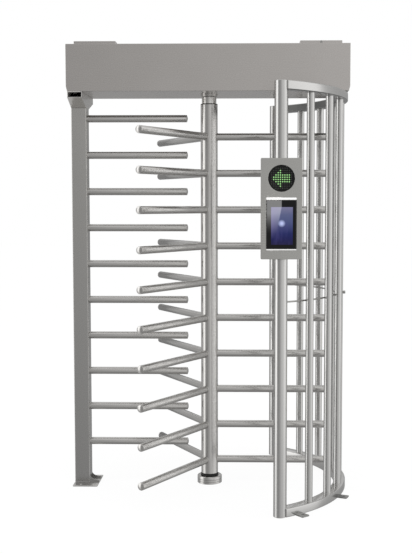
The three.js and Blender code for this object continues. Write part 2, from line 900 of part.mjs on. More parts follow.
function lightBarBlock(grow, near, far) {
  const half = barWidth / 2 + grow;
  const z0 = panelBase + glassRise + glassHeight + barGap - grow;
  return panelPiece(frontPost.x - half, frontPost.x + half, z0, z0 + barHeight + 2 * grow, near, far);
}

// The back plate closes the housing, and its saddle clasps the front half of the post
function panelBracket() {
  const halfX = panelWidth / 2 - panelSide - seatGap;
  const near = panelBackY;
  const x = frontPost.x;
  const back = block(
    x - halfX,
    x + halfX,
    near + seatGap,
    near + panelPlate,
    panelBase + panelSide + seatGap,
    panelTop - panelSide - seatGap,
  );
  const middle = (panelBase + panelTop) / 2;
  const saddle = block(
    x - saddleWidth / 2,
    x + saddleWidth / 2,
    near + panelPlate / 2,
    frontPost.y,
    middle - saddleHeight / 2,
    middle + saddleHeight / 2,
  );
  const grip = rod(cagePostRadius + seatGap, panelBase, panelTop, x, frontPost.y);
  return back.add(saddle).subtract(grip);
}

const turnstile = new THREE.Group();

function add(name, body, material, height = 0) {
  const mesh = new THREE.Mesh(geometryOf(body), material);
  mesh.name = name;
  mesh.position.z = height;
  turnstile.add(mesh);
}

// Rotor
add("rotor_column", rotorColumn(), steel);
const tier = armTier();
for (let index = 0; index < tierCount; index++) {
  const number = String(index + 1).padStart(2, "0");
  add("arm_tier_" + number, tier, steel, lowestArm + index * tierPitch);
}
add("neck_spindle", neckSpindle(), steel);
add("pivot_plug", pivotPlug(), castSteel);
add("lock_wheel", lockWheel(), castSteel);
add("drive_gear", driveGear(), castSteel);

// Floor pivot
add("base_cup", baseCup(), steel);
add("base_seal", baseSeal(), rubber);

// Left post and comb
add("left_post", leftPost(), steel);
add("post_head", postHead(), steel);
for (let bar = 0; bar < tierCount; bar++) {
  add("comb_bar_" + String(bar + 1).padStart(2, "0"), combBar(bar), steel);
}

// Cage
add("floor_ring", floorRing(), steel);
add("head_ring", cageRing(frameTop - ringHeight), brightSteel);
add("front_post", cagePost(-rad(cagePostAngle)), brightSteel);
add("rear_post", cagePost(rad(cagePostAngle)), brightSteel);
for (let index = 0; index < cageTubeCount; index++) {
  add("cage_tube_" + (index + 1), cageTube(index), brightSteel);
}
add("cage_hoop", cageHoop(), castSteel);

// Head beam and its mechanism
add("beam_tray", beamTray(), steel);
add("beam_cover", beamCover(), steel);
add("left_hatch", hatch(-1), steel);
add("right_hatch", hatch(1), steel);
add("top_bearing", topBearing(), castSteel);
add("damper_body", damperBody(), castSteel);
add("damper_pinion", damperPinion(), castSteel);
for (const [side, name] of [[-1, "entry"], [1, "exit"]]) {
  add(name + "_pawl", pawl(side), castSteel);
  add(name + "_solenoid", lockSolenoid(side), plastic);
  add(name + "_plunger", plunger(side), brightSteel);
}
add("control_box", controlBox(), plastic);

// Access panel
add("panel_housing", panelHousing(), steel);
add("panel_bracket", panelBracket(), steel);
const recessFloor = recessDepth - seatGap;
add("indicator_lens", dial(dialRadius, recessFloor - dialPlate, recessFloor), plastic);
add("terminal_glass", glassBlock(0, recessFloor - glassPlate, recessFloor), glass);
add("light_bar", lightBarBlock(0, recessDepth - seatGap - barPlate, recessDepth - seatGap), lamp);

export default turnstile;
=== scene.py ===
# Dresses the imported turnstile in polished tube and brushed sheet. Metres, +Z up, the entry side faces -Y
import json
import math

import bmesh
import bpy
from mathutils import Matrix, Vector
from mathutils.geometry import tessellate_polygon


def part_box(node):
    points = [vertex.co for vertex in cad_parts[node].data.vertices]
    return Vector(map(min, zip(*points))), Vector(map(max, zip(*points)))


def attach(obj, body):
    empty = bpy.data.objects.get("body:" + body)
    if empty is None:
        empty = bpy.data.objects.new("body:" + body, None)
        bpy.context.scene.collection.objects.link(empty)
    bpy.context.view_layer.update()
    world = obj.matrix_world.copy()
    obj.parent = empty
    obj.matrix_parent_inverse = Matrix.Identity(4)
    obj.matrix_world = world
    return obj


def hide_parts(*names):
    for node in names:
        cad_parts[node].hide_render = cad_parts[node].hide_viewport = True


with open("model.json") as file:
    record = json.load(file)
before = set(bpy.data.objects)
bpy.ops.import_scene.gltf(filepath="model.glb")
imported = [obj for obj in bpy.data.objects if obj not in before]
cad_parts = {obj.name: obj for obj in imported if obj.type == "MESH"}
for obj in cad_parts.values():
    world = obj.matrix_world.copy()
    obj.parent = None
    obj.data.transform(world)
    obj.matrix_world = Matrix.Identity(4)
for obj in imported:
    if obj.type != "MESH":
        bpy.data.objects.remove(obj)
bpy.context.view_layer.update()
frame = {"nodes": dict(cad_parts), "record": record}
scene = bpy.context.scene
scene.view_settings.view_transform = "Standard"
fullTurn = 2 * math.pi
quarterTurn = math.pi / 2
touch = 0.0003  # gap between pieces that are seated together
bumpDepth = 0.0004  # of the finest lines and pores
bend = {"steps": 3, "smallShare": 0.3, "merge": touch / 30,
        "flatBelow": 1, "cornerAbove": 20, "sharpAbove": 38}  # angles in degrees
weld = {"steps": 72, "waves": 24, "ripple": 0.1, "cornerSteps": 8}
# How many points go round each kind of round form
sides = {"bead": 8, "lamp": 12, "wire": 16, "hole": 24, "small": 32, "tube": 40, "post": 56, "column": 64, "disc": 72}


def low(node):
    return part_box(node)[0]


def high(node):
    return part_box(node)[1]


def middle(node):
    return (low(node) + high(node)) / 2


# A shape is a pair: its points and its faces
def turned(profile, steps, loop=False):
    points, faces, rows = [], [], []
    for radius, height in profile:
        if radius < touch / 10:  # one point on the axis closes the form
            rows.append([len(points)] * steps)
            points.append(Vector((0, 0, height)))
            continue
        rows.append([len(points) + step for step in range(steps)])
        for step in range(steps):
            angle = fullTurn * step / steps
            points.append(Vector((radius * math.cos(angle), radius * math.sin(angle), height)))
    for lower, upper in zip(rows, rows[1:] + (rows[:1] if loop else [])):
        for step in range(steps):
            after = (step + 1) % steps
            corners = [lower[step], lower[after], upper[after], upper[step]]
            faces.append(list(dict.fromkeys(corners)))
    return points, faces


# The rounded edge at the top of a turned form
def shoulder(radius, top, soft, steps=6):
    angles = [quarterTurn * step / steps for step in range(steps + 1)]
    return [(radius - soft * (1 - math.cos(angle)), top - soft * (1 - math.sin(angle))) for angle in angles]


# The same in three points, and as a straight bevel
def smallShoulder(radius, top, soft):
    corner = soft * bend["smallShare"]
    return [(radius, top - soft), (radius - corner, top - corner), (radius - soft, top)]


def bevelled(radius, top, cut):
    return [(radius, top - cut), (radius - cut, top)]


# Frames along a closed path
def pathFrames(path, up):
    frames = []
    for index, point in enumerate(path):
        along = (path[(index + 1) % len(path)] - path[index - 1]).normalized()
        side = up.cross(along).normalized()
        axes = Matrix((side, along.cross(side), along)).transposed().to_4x4()
        frames.append(Matrix.Translation(point) @ axes)
    return frames


def swept(section, frames, loop=False):
    count = len(section)
    points = [place @ Vector((x, y, 0)) for place in frames for x, y in section]
    faces = []
    for step in range(len(frames) if loop else len(frames) - 1):
        here, after = step * count, (step + 1) % len(frames) * count
        for side in range(count):
            beside = (side + 1) % count
            faces.append([here + side, here + beside, after + beside, after + side])
    if not loop:
        faces += [list(range(count)), list(range(len(points) - count, len(points)))]
    return points, faces


def circle(radius, count, x=0, y=0):
    angles = [fullTurn * side / count for side in range(count)]
    return [Vector((x + radius * math.cos(angle), y + radius * math.sin(angle))) for angle in angles]


def roundedRectangle(x0, x1, y0, y1, radius, steps=5):
    outline = []
    corners = [(x1 - radius, y0 + radius), (x1 - radius, y1 - radius), (x0 + radius, y1 - radius),
               (x0 + radius, y0 + radius)]
    for quarter, (x, y) in enumerate(corners):
        for step in range(steps + 1):
            angle = (quarter - 1 + step / steps) * quarterTurn
            outline.append(Vector((x + radius * math.cos(angle), y + radius * math.sin(angle))))
    return outline


def inset(outline, distance):
    moved = []
    for index, point in enumerate(outline):
        before = (point - outline[index - 1]).normalized()
        after = (outline[(index + 1) % len(outline)] - point).normalized()
        normal = Vector((-before.y - after.y, before.x + after.x))
        moved.append(point + normal * distance / (1 + before.dot(after)))
    return moved


# A plate between two heights, its edges and those of its holes rounded off
def cutPlate(outer, holes, z0, z1, edge):
    points, faces = [], []
    rims = [[], []]
    for outline, inwards in [(outer, 1)] + [(hole, -1) for hole in holes]:
        levels = []
        for step in range(bend["steps"] + 1):
            angle = quarterTurn * step / bend["steps"]
            levels.append((edge * (1 - math.sin(angle)), edge * (1 - math.cos(angle))))
        stack = [(draw, z0 + rise) for draw, rise in levels] + [(draw, z1 - rise) for draw, rise in levels[::-1]]
        count = len(outline)
        first = len(points)
        for distance, height in stack:
            points += [Vector((p.x, p.y, height)) for p in inset(outline, inwards * distance)]
        for row in range(len(stack) - 1):
            here = first + row * count
            for side in range(count):
                beside = (side + 1) % count
                faces.append([here + side, here + beside, here + count + beside, here + count + side])
        rims[0].append(list(range(first, first + count)))
        rims[1].append(list(range(len(points) - count, len(points))))
    for rim in rims:
        order = [index for loop in rim for index in loop]
        fill = tessellate_polygon([[points[index] for index in loop] for loop in rim])
        faces += [[order[corner] for corner in triangle] for triangle in fill]
    return points, faces


def moved(shape, place):
    points, faces = shape
    return [place @ point for point in points], faces


def laidAlongX(shape, z=0):
    return moved(shape, Matrix.Translation((0, 0, z)) @ Matrix.Rotation(quarterTurn, 4, "Y"))


# Stands a plate drawn in XY up in XZ, so that its upper side faces the entry
def facingEntry(shape, y=0):
    return moved(shape, Matrix.Translation((0, y, 0)) @ Matrix.Rotation(quarterTurn, 4, "X"))


def turnedBy(shape, angle):
    return moved(shape, Matrix.Rotation(angle, 4, "Z"))


# The bead of a weld where a tube along X meets a column, or a flat face where there is no column
def weldBead(tubeRadius, beadRadius, columnRadius=0):
    path, sizes = [], []
    for step in range(weld["steps"]):
        angle = fullTurn * step / weld["steps"]
        y, z = tubeRadius * math.cos(angle), tubeRadius * math.sin(angle)
        path.append(Vector((math.sqrt(max(columnRadius ** 2 - y ** 2, 0)), y, z)))
        sizes.append(1 + weld["ripple"] * math.sin(weld["waves"] * angle))
    frames = pathFrames(path, Vector((1, 0, 0)))
    frames = [place @ Matrix.Scale(size, 4) for place, size in zip(frames, sizes)]
    return swept(circle(beadRadius, sides["bead"]), frames, loop=True)


# The form of a CAD node with its flat faces kept whole and its outer edges rounded
def softened(node, edge):
    work = bmesh.new()
    work.from_mesh(frame["nodes"][node].data)
    bmesh.ops.remove_doubles(work, verts=work.verts, dist=bend["merge"])
    bmesh.ops.dissolve_limit(work, angle_limit=math.radians(bend["flatBelow"]), verts=work.verts, edges=work.edges)
    least = math.radians(bend["cornerAbove"])
    corners = [line for line in work.edges if line.is_manifold and line.is_convex and line.calc_face_angle() > least]
    bmesh.ops.bevel(work, geom=corners, offset=edge, offset_type="OFFSET", segments=bend["steps"], profile=0.5,
                    affect="EDGES", clamp_overlap=True)
    work.verts.index_update()
    shape = [v.co.copy() for v in work.verts], [[v.index for v in face.verts] for face in work.faces]
    work.free()
    return shape


def meshOf(name, points, faces, finish):
    mesh = bpy.data.meshes.new(name)
    mesh.from_pydata(points, [], faces)
    mesh.materials.append(finish)
    return mesh


def addObject(name, data):
    made = bpy.data.objects.new(name, data)
    scene.collection.objects.link(made)
    return made


def makePiece(name, shapes, finish, replaced=(), body="frame", flat=False):
    points, faces = [], []
    for shapePoints, shapeFaces in shapes:
        base = len(points)
        points += shapePoints
        faces += [[base + corner for corner in face] for face in shapeFaces]
    mesh = meshOf(name, points, faces, finish)
    work = bmesh.new()
    work.from_mesh(mesh)
    bmesh.ops.recalc_face_normals(work, faces=work.faces)
    work.to_mesh(mesh)
    work.free()
    mesh.shade_smooth()
    mesh.set_sharp_from_angle(angle=math.radians(bend["sharpAbove"]))
    piece = addObject(name, mesh)
    if flat:  # keeps the large faces flat beside their rounded edges
        even = piece.modifiers.new("evenNormals", "WEIGHTED_NORMAL")
        even.keep_sharp = True
    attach(piece, body)
    if replaced:
        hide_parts(*replaced)


# A socket that is reckoned with as a number
class Wire:
    def __init__(self, sheet, socket):
        self.sheet = sheet
        self.socket = socket

    def maths(self, operation, first, second):
        return self.sheet.node("ShaderNodeMath", {"operation": operation}, {0: first, 1: second})

    def __add__(self, other):
        return self.maths("ADD", self, other)

    def __radd__(self, other):
        return self.maths("ADD", other, self)

    def __sub__(self, other):
        return self.maths("SUBTRACT", self, other)

    def __rsub__(self, other):
        return self.maths("SUBTRACT", other, self)

    def __mul__(self, other):
        return self.maths("MULTIPLY", self, other)

    def __rmul__(self, other):
        return self.maths("MULTIPLY", other, self)

    def __truediv__(self, other):
        return self.maths("DIVIDE", self, other)

    def __pow__(self, other):
        return self.maths("POWER", self, other)

    def __gt__(self, other):
        return self.maths("GREATER_THAN", self, other)

    def __lt__(self, other):
        return self.maths("LESS_THAN", self, other)


# A material, or the world, while its nodes are laid out
class NodeSheet:
    def __init__(self, owner):
        owner.use_nodes = True
        self.owner = owner
        self.tree = owner.node_tree
        self.tree.nodes.clear()

    def node(self, kind, settings=None, sockets=None, out=0):
        made = self.tree.nodes.new(kind)
        for key, value in (settings or {}).items():
            if key == "stops":
                ramp = made.color_ramp
                while len(ramp.elements) < len(value):
                    ramp.elements.new(1)
                for element, (place, colour) in zip(ramp.elements, value):
                    element.position = place
                    element.color = (*colour, 1)
            else:
                setattr(made, key, value)
        for key, value in (sockets or {}).items():
            if isinstance(value, Wire):
                self.tree.links.new(value.socket, made.inputs[key])
            else:
                made.inputs[key].default_value = value
        return Wire(self, made.outputs[out]) if made.outputs else None

    def axes(self):
        place = self.node("ShaderNodeTexCoord", out="Object")
        split = self.node("ShaderNodeSeparateXYZ", sockets={0: place}).socket.node
        return [Wire(self, split.outputs[axis]) for axis in "XYZ"]

    def noise(self, x, y, z, detail=2.0):
        place = self.node("ShaderNodeCombineXYZ", sockets={0: x, 1: y, 2: z})
        return self.node("ShaderNodeTexNoise", sockets={"Vector": place, "Scale": 1.0, "Detail": detail}, out="Fac")

    def clamped(self, value):
        return self.node("ShaderNodeClamp", sockets={0: value})

    def blend(self, share, first, second):
        return self.node("ShaderNodeMix", {"data_type": "RGBA"}, {0: share, 6: first, 7: second}, out=2)

    def close(self, sockets):
        shader = self.node("ShaderNodeBsdfPrincipled", sockets=sockets)
        self.node("ShaderNodeOutputMaterial", sockets={"Surface": shader})
        return self.owner


def newFinish(name):
    return NodeSheet(bpy.data.materials.new(name))


def fromAxis(x, y):
    return (x * x + y * y) ** 0.5


# Steel with the fine lines that polishing leaves: lines sets how they run, tones where it is paler or darker, which is
# painted light and shade where it is used, and the last mask where the metal is made matte, which in the head's slot
# carries painted light
def steel(name, look, lines, tones=(), matteWhere=None):
    sheet = newFinish(name)
    x, y, z = sheet.axes()
    fine, slow = 1 / look["linePitch"], 1 / look["lineLength"]
    if lines == "roundZ":
        grain = sheet.noise(x * slow, y * slow, z * fine)
    elif lines == "roundX":
        grain = sheet.noise(x * fine, y * slow, z * slow)
    elif lines == "roundArm":
        grain = sheet.noise(fromAxis(x, y) * fine, x * slow, z * slow)
    else:  # alongX, as on brushed sheet
        grain = sheet.noise(x * slow, y * fine, z * fine)
    cloud = sheet.noise(x * look["cloud"], y * look["cloud"], z * look["cloud"], detail=3.0)
    smear = sheet.noise(x * look["smear"], y * look["smear"], z * look["smear"] * look["smearTall"], detail=4.0)
    tone = cloud * look["cloudShare"] + grain * (1 - look["cloudShare"])
    bump = sheet.node("ShaderNodeBump", sockets={"Strength": look["bump"], "Distance": bumpDepth, "Height": grain})
    colour = sheet.blend(tone, look["deep"], look["pale"])
    for whereIs, toned in tones:
        colour = sheet.blend(whereIs(x, y, z), colour, toned)
    metallic = look["metallic"] - matteWhere(x, y, z) if matteWhere else look["metallic"]
    return sheet.close({
        "Base Color": colour, "Metallic": metallic,
        "Roughness": look["roughness"] + (grain - 0.5) * look["lineGloss"] + (smear - 0.5) * look["smearGloss"],
        "Normal": bump,
    })


tubeLook = {
    "pale": (0.56, 0.55, 0.535, 1), "deep": (0.48, 0.47, 0.455, 1), "metallic": 1.0, "roughness": 0.2,
    "linePitch": 0.0009, "lineLength": 0.03, "lineGloss": 0.04, "cloud": 4.0, "cloudShare": 0.7,
    "smear": 14.0, "smearTall": 0.4, "smearGloss": 0.05, "bump": 0.012,
}
cageLook = dict(tubeLook, pale=(0.55, 0.545, 0.535, 1), deep=(0.48, 0.475, 0.465, 1))
sheetLook = dict(tubeLook, pale=(0.53, 0.52, 0.50, 1), deep=(0.46, 0.45, 0.43, 1), roughness=0.27,
                 linePitch=0.0007, lineLength=0.09, lineGloss=0.06, bump=0.016)
beamLook = dict(sheetLook, pale=(0.565, 0.54, 0.52, 1), deep=(0.49, 0.467, 0.447, 1))
trayLook = dict(sheetLook, pale=(0.62, 0.596, 0.575, 1), deep=(0.54, 0.517, 0.497, 1))
panelLook = dict(sheetLook, pale=(0.49, 0.485, 0.465, 1), deep=(0.42, 0.415, 0.395, 1))
# Painted light: the foot plate's sheet is made paler than the post's
plateLookPaintedLight = dict(sheetLook, pale=(0.7, 0.69, 0.67, 1), deep=(0.6, 0.59, 0.57, 1))
neckLook = dict(tubeLook, pale=(0.63, 0.62, 0.6, 1), deep=(0.56, 0.55, 0.53, 1))
turnedLook = dict(tubeLook, pale=(0.30, 0.295, 0.28, 1), deep=(0.22, 0.215, 0.205, 1), roughness=0.38)
hoopLook = dict(turnedLook, pale=(0.42, 0.415, 0.4, 1), deep=(0.34, 0.335, 0.32, 1))

columnSteel = steel("column_steel", tubeLook, "roundZ")
armSteel = steel("arm_steel", tubeLook, "roundArm")
combSteel = steel("comb_steel", tubeLook, "roundX")
cageSteel = steel("cage_steel", cageLook, "roundZ")
neckSteel = steel("neck_steel", neckLook, "roundZ")
beamSteel = steel("beam_sheet", beamLook, "alongX")
traySteel = steel("tray_sheet", trayLook, "alongX")
panelSteel = steel("panel_sheet", panelLook, "alongX")
plateSteel = steel("foot_plate_sheet", plateLookPaintedLight, "alongX")
turnedSteel = steel("turned_steel", turnedLook, "roundZ")
hoopSteel = steel("hoop_steel", hoopLook, "roundZ")


def moulded(name, look):
    sheet = newFinish(name)
    x, y, z = sheet.axes()
    pores = sheet.noise(x / look["grain"], y / look["grain"], z / look["grain"], detail=3.0)
    dust = sheet.noise(x * look["dust"], y * look["dust"], z * look["dust"], detail=4.0)
    bump = sheet.node("ShaderNodeBump", sockets={"Strength": look["bump"], "Distance": bumpDepth, "Height": pores})
    return sheet.close({
        "Base Color": sheet.blend(dust * pores, look["deep"], look["pale"]),
        "Roughness": look["roughness"] + (dust - 0.5) * look["dustGloss"],
        "Specular IOR Level": look["specular"], "Normal": bump,
    })


plasticLook = {
    "pale": (0.045, 0.046, 0.05, 1), "deep": (0.012, 0.012, 0.014, 1), "grain": 0.0009, "dust": 18.0,
    "dustGloss": 0.15, "bump": 0.12, "roughness": 0.42, "specular": 0.5,
}
rubberLook = dict(plasticLook, pale=(0.05, 0.048, 0.045, 1), deep=(0.008, 0.008, 0.008, 1), grain=0.0012, dust=25.0,
                  bump=0.25, roughness=0.62)
dialLook = dict(plasticLook, pale=(0.009, 0.009, 0.009, 1), deep=(0.004, 0.004, 0.004, 1), bump=0.08,
                roughness=0.36, specular=0.2)
sealRubber = moulded("seal_rubber", rubberLook)
blackPlastic = moulded("black_plastic", plasticLook)
dialPlastic = moulded("dial_plastic", dialLook)
print("finishes ready")

# Rotor: the column, ten tiers of three arms and the neck under the beam
rotor = {
    "columnRadius": 0.04445, "columnBore": 0.04145, "columnChamfer": 0.0008,
    "armRadius": 0.019, "armStart": 0.037, "armCount": 3, "tierCount": 10,
    "hubRadius": 0.0402, "hubBore": 0.0335, "hubHalf": 0.022, "hubSides": 6,
    "capRound": 0.0022, "capCrown": 0.004, "capSeam": 0.0085, "seamWidth": 0.0012, "seamDepth": 0.0007,
    "crownShares": (0.85, 0.7, 0.5, 0.3, 0.15, 0), "beadRadius": 0.0019,
}


# A closed tube: its welded cap is crowned, with a round edge and a fine seam behind it
def cappedTube(radius, start, end, look):
    seam = end - look["capSeam"]
    outline = [(0, start), (radius, start), (radius, seam - look["seamWidth"])]
    outline += [(radius - look["seamDepth"], seam), (radius, seam + look["seamWidth"])]
    outline += shoulder(radius, end - look["capCrown"], look["capRound"])
    flat = radius - look["capRound"]
    outline += [(flat * share, end - look["capCrown"] * share ** 2) for share in look["crownShares"]]
    return turned(outline, sides["tube"])


def tubeRing(radius, bore, z0, z1, chamfer, steps):
    return turned([(radius, z0 + chamfer), *bevelled(radius, z1, chamfer), (bore, z1), (bore, z0),
                   (radius - chamfer, z0)], steps, loop=True)


columnFoot, columnTop = low("rotor_column").z, high("rotor_column").z
makePiece("column_tube", [tubeRing(rotor["columnRadius"], rotor["columnBore"], columnFoot, columnTop,
                                   rotor["columnChamfer"], sides["column"])],
          columnSteel, ["rotor_column"], body="rotor")

for tier in range(1, rotor["tierCount"] + 1):
    node = f"arm_tier_{tier:02d}"
    arm = laidAlongX(cappedTube(rotor["armRadius"], rotor["armStart"], high(node).x, rotor))
    bead = weldBead(rotor["armRadius"] + touch, rotor["beadRadius"], rotor["columnRadius"])
    hub = turned([(rotor["hubRadius"], -rotor["hubHalf"]), (rotor["hubRadius"], rotor["hubHalf"]),
                  (rotor["hubBore"], rotor["hubHalf"]), (rotor["hubBore"], -rotor["hubHalf"])],
                 rotor["hubSides"], loop=True)
    shapes = [turnedBy(shape, fullTurn * wing / rotor["armCount"])
              for wing in range(rotor["armCount"]) for shape in (arm, bead)]
    lift = Matrix.Translation((0, 0, middle(node).z))
    makePiece(f"rotor_arms_{tier:02d}", [moved(shape, lift) for shape in shapes + [hub]],
              armSteel, [node], body="rotor")

neck = {"radius": 0.038, "plugRadius": 0.0403, "spindleRadius": 0.02, "chamfer": 0.0012, "running": 0.0012,
        "groove": 0.0036}
neckFoot, spindleTop = low("neck_spindle").z, high("neck_spindle").z
neckTop = low("top_bearing").z - neck["running"]
makePiece("column_neck", [turned([
    (0, neckFoot), (neck["plugRadius"], neckFoot), (neck["plugRadius"], columnTop - touch),
    (neck["radius"] - neck["groove"], columnTop + touch), (neck["radius"] - neck["groove"], columnTop + neck["groove"]),
    (neck["radius"], columnTop + neck["groove"] + neck["chamfer"]),
    *bevelled(neck["radius"], neckTop, neck["chamfer"]), (neck["spindleRadius"], neckTop),
    *bevelled(neck["spindleRadius"], spindleTop, neck["chamfer"]), (0, spindleTop),
], sides["column"])], neckSteel, ["neck_spindle"], body="rotor")
makePiece("neck_ring", [tubeRing(rotor["columnRadius"], neck["radius"] + touch, columnTop + touch,
                                 columnTop + neck["groove"], rotor["columnChamfer"], sides["column"])],
          sealRubber, body="rotor")

bearing = {"bore": 0.0212, "radius": 0.044, "boss": 0.034, "groove": 0.001, "chamfer": 0.001}
bearingFoot, bearingTop = low("top_bearing").z, high("top_bearing").z
flangeTop = low("beam_cover").z - touch
flangeMiddle = (bearingFoot + flangeTop) / 2
makePiece("head_bearing", [turned([
    (bearing["bore"], bearingFoot), (bearing["radius"] - bearing["chamfer"], bearingFoot),
    (bearing["radius"], bearingFoot + bearing["chamfer"]), (bearing["radius"], flangeMiddle - bearing["groove"]),
    (bearing["radius"] - bearing["groove"], flangeMiddle), (bearing["radius"], flangeMiddle + bearing["groove"]),
    (bearing["radius"], flangeTop), (bearing["boss"], flangeTop),
    *bevelled(bearing["boss"], bearingTop, bearing["chamfer"]), (bearing["bore"], bearingTop),
], sides["column"], loop=True)], columnSteel, ["top_bearing"])
print("rotor ready")

# Floor pivot: a turned cup with two grooves, and the seal between it and the column
cup = {"radius": 0.065, "well": 0.0469, "floor": 0.008, "round": 0.006, "foot": 0.001, "groove": 0.0017,
       "grooveHalf": 0.0015, "grooveBottom": 0.0005, "grooveShares": (0.3, 0.58)}
cupTop = high("base_cup").z
outline = [(0, 0), (cup["radius"] - cup["foot"], 0), (cup["radius"], cup["foot"])]
for share in cup["grooveShares"]:
    level = cupTop * share
    outline += [(cup["radius"], level - cup["grooveHalf"]),
                (cup["radius"] - cup["groove"], level - cup["grooveBottom"]),
                (cup["radius"] - cup["groove"], level + cup["grooveBottom"]),
                (cup["radius"], level + cup["grooveHalf"])]
outline += shoulder(cup["radius"], cupTop, cup["round"])
outline += [(cup["well"] + cup["foot"], cupTop), (cup["well"], cupTop - cup["foot"]),
            (cup["well"], cup["floor"]), (0, cup["floor"])]
makePiece("pivot_cup", [turned(outline, sides["disc"])], columnSteel, ["base_cup"])

seal = {"hole": 0.0213, "radius": 0.0466, "lip": 0.0012, "ribs": 3, "ribFoot": 0.2, "ribCrest": 0.55,
        "ribTop": 0.9}
sealFoot, sealTop = low("base_seal").z, high("base_seal").z
outline = [(seal["hole"], sealFoot), (seal["radius"], sealFoot)]
ribPitch = (sealTop - cupTop) / seal["ribs"]
for rib in range(seal["ribs"]):
    foot = cupTop + rib * ribPitch
    outline += [(seal["radius"] - seal["lip"], foot + ribPitch * seal["ribFoot"]),
                (seal["radius"], foot + ribPitch * seal["ribCrest"]),
                (seal["radius"] - seal["lip"], foot + ribPitch * seal["ribTop"])]
outline += [(seal["hole"], sealTop)]
makePiece("pivot_seal", [turned(outline, sides["column"], loop=True)], sealRubber, ["base_seal"])
print("floor pivot ready")

# Left post: a square tube on its foot plate, with two gussets, the flared head and the comb
post = {"half": 0.04, "wall": 0.004, "corner": 0.005, "edge": 0.0004, "plate": 0.006, "plateCorner": 0.004,
        "plateEdge": 0.0012, "hole": 0.007, "holeInset": 0.024, "gusset": 0.005, "gussetRise": 0.034,
        "gussetToe": 0.009, "gussetEdge": 0.0008, "gussetSteps": 10, "bead": 0.0022, "headEdge": 0.0015,
        "headSlot": ((-0.7112, -0.6398), (-0.1765, 0.1765), (2.0248, 2.0482)),
        "paintedShadeTowardsFloor": (0.385, 0.38, 0.372, 1), "paintedLightOnHeadFront": (0.92, 0.9, 0.87, 1), "paintedLightInSlot": (0.66, 0.65, 0.63, 1)}
postFace = low("comb_bar_01").x + post["wall"]
postX = postFace - post["half"]
postTop = low("post_head").z - touch
# Painted light: the head's sheet is made paler than the post's
headLookPaintedLight = dict(sheetLook, pale=(0.68, 0.67, 0.65, 1), deep=(0.6, 0.59, 0.57, 1))


# Painted shade: how far the post's sheet is darkened towards the floor
def paintedShadeNearFloor(x, y, z):
    return 1 - z / postTop


# Painted light: where the head's leaning front is made paler still
def paintedLightOnLeaningFront(x, y, z):
    return (y < -post["half"] - touch) * (x < postFace - touch)


# The opening in the head, whose box is given as least and most along each axis
def insideSlot(*place):
    inside = 1.0
    for part, (least, most) in zip(place, post["headSlot"]):
        inside = (part > least) * (part < most) * inside
    return inside


# The post's sheet carries painted shade that darkens it towards the floor
postSteel = steel("post_sheet", sheetLook, "roundZ", [(paintedShadeNearFloor, post["paintedShadeTowardsFloor"])])
# In its slot the head is a matte light grey instead of steel: painted light, so that the deep slot shows grey and not
# black
headSteel = steel("head_sheet", headLookPaintedLight, "roundZ",
                  [(paintedLightOnLeaningFront, post["paintedLightOnHeadFront"]), (insideSlot, post["paintedLightInSlot"])], matteWhere=insideSlot)
plateX0, plateX1 = low("left_post").x, high("left_post").x
plateY0, plateY1 = low("left_post").y, high("left_post").y
inner = post["half"] - post["wall"]
postOutline = roundedRectangle(postX - post["half"], postFace, -post["half"], post["half"], post["corner"])
postBore = roundedRectangle(postX - inner, postX + inner, -inner, inner, post["corner"] - post["wall"])
tube = cutPlate(postOutline, [postBore], 0, postTop, post["edge"])
holes = [circle(post["hole"], sides["hole"], x, y) for x in (postX, plateX1 - post["holeInset"])
         for y in (plateY0 + post["holeInset"], plateY1 - post["holeInset"])]
plate = cutPlate(roundedRectangle(plateX0, plateX1, plateY0, plateY1, post["plateCorner"]), holes,
                 0, post["plate"], post["plateEdge"])
# The gusset's upper edge is an arc that is drawn in towards the corner of post and plate
gussetTop, gussetFoot = post["plate"] + post["gussetRise"], post["plate"] + post["gussetToe"]
web = [Vector((postFace - post["wall"] / 2, post["plate"] / 2)), Vector((plateX1 - touch, post["plate"] / 2))]
for step in range(post["gussetSteps"] + 1):
    angle = quarterTurn * step / post["gussetSteps"]
    web.append(Vector((plateX1 - touch - (plateX1 - postFace) * math.sin(angle),
                       gussetTop - (gussetTop - gussetFoot) * math.cos(angle))))
web.append(Vector((postFace - post["wall"] / 2, gussetTop)))
gusset = cutPlate(web, [], 0, post["gusset"], post["gussetEdge"])
beadPath = [Vector((max(p.x, plateX0 + post["bead"]), p.y, post["plate"])) for p in postOutline]
footBead = swept(circle(post["bead"], sides["bead"]), pathFrames(beadPath, Vector((0, 0, 1))), loop=True)
makePiece("post_foot_plate", [plate], plateSteel, flat=True)
makePiece("square_post", [tube, facingEntry(gusset, -post["half"] + post["gusset"]),
                          facingEntry(gusset, post["half"]), footBead],
          postSteel, ["left_post"], flat=True)
makePiece("flared_head", [softened("post_head", post["headEdge"])], headSteel, ["post_head"], flat=True)

for bar in range(1, rotor["tierCount"] + 1):
    node = f"comb_bar_{bar:02d}"
    rail = cappedTube(rotor["armRadius"], 0, high(node).x - low(node).x, rotor)
    bead = moved(weldBead(rotor["armRadius"] + touch, rotor["beadRadius"]), Matrix.Translation((post["wall"], 0, 0)))
    place = Matrix.Translation((low(node).x, 0, middle(node).z))
    makePiece(f"comb_rail_{bar:02d}", [moved(laidAlongX(rail), place), moved(bead, place)], combSteel, [node])
print("post and comb ready")

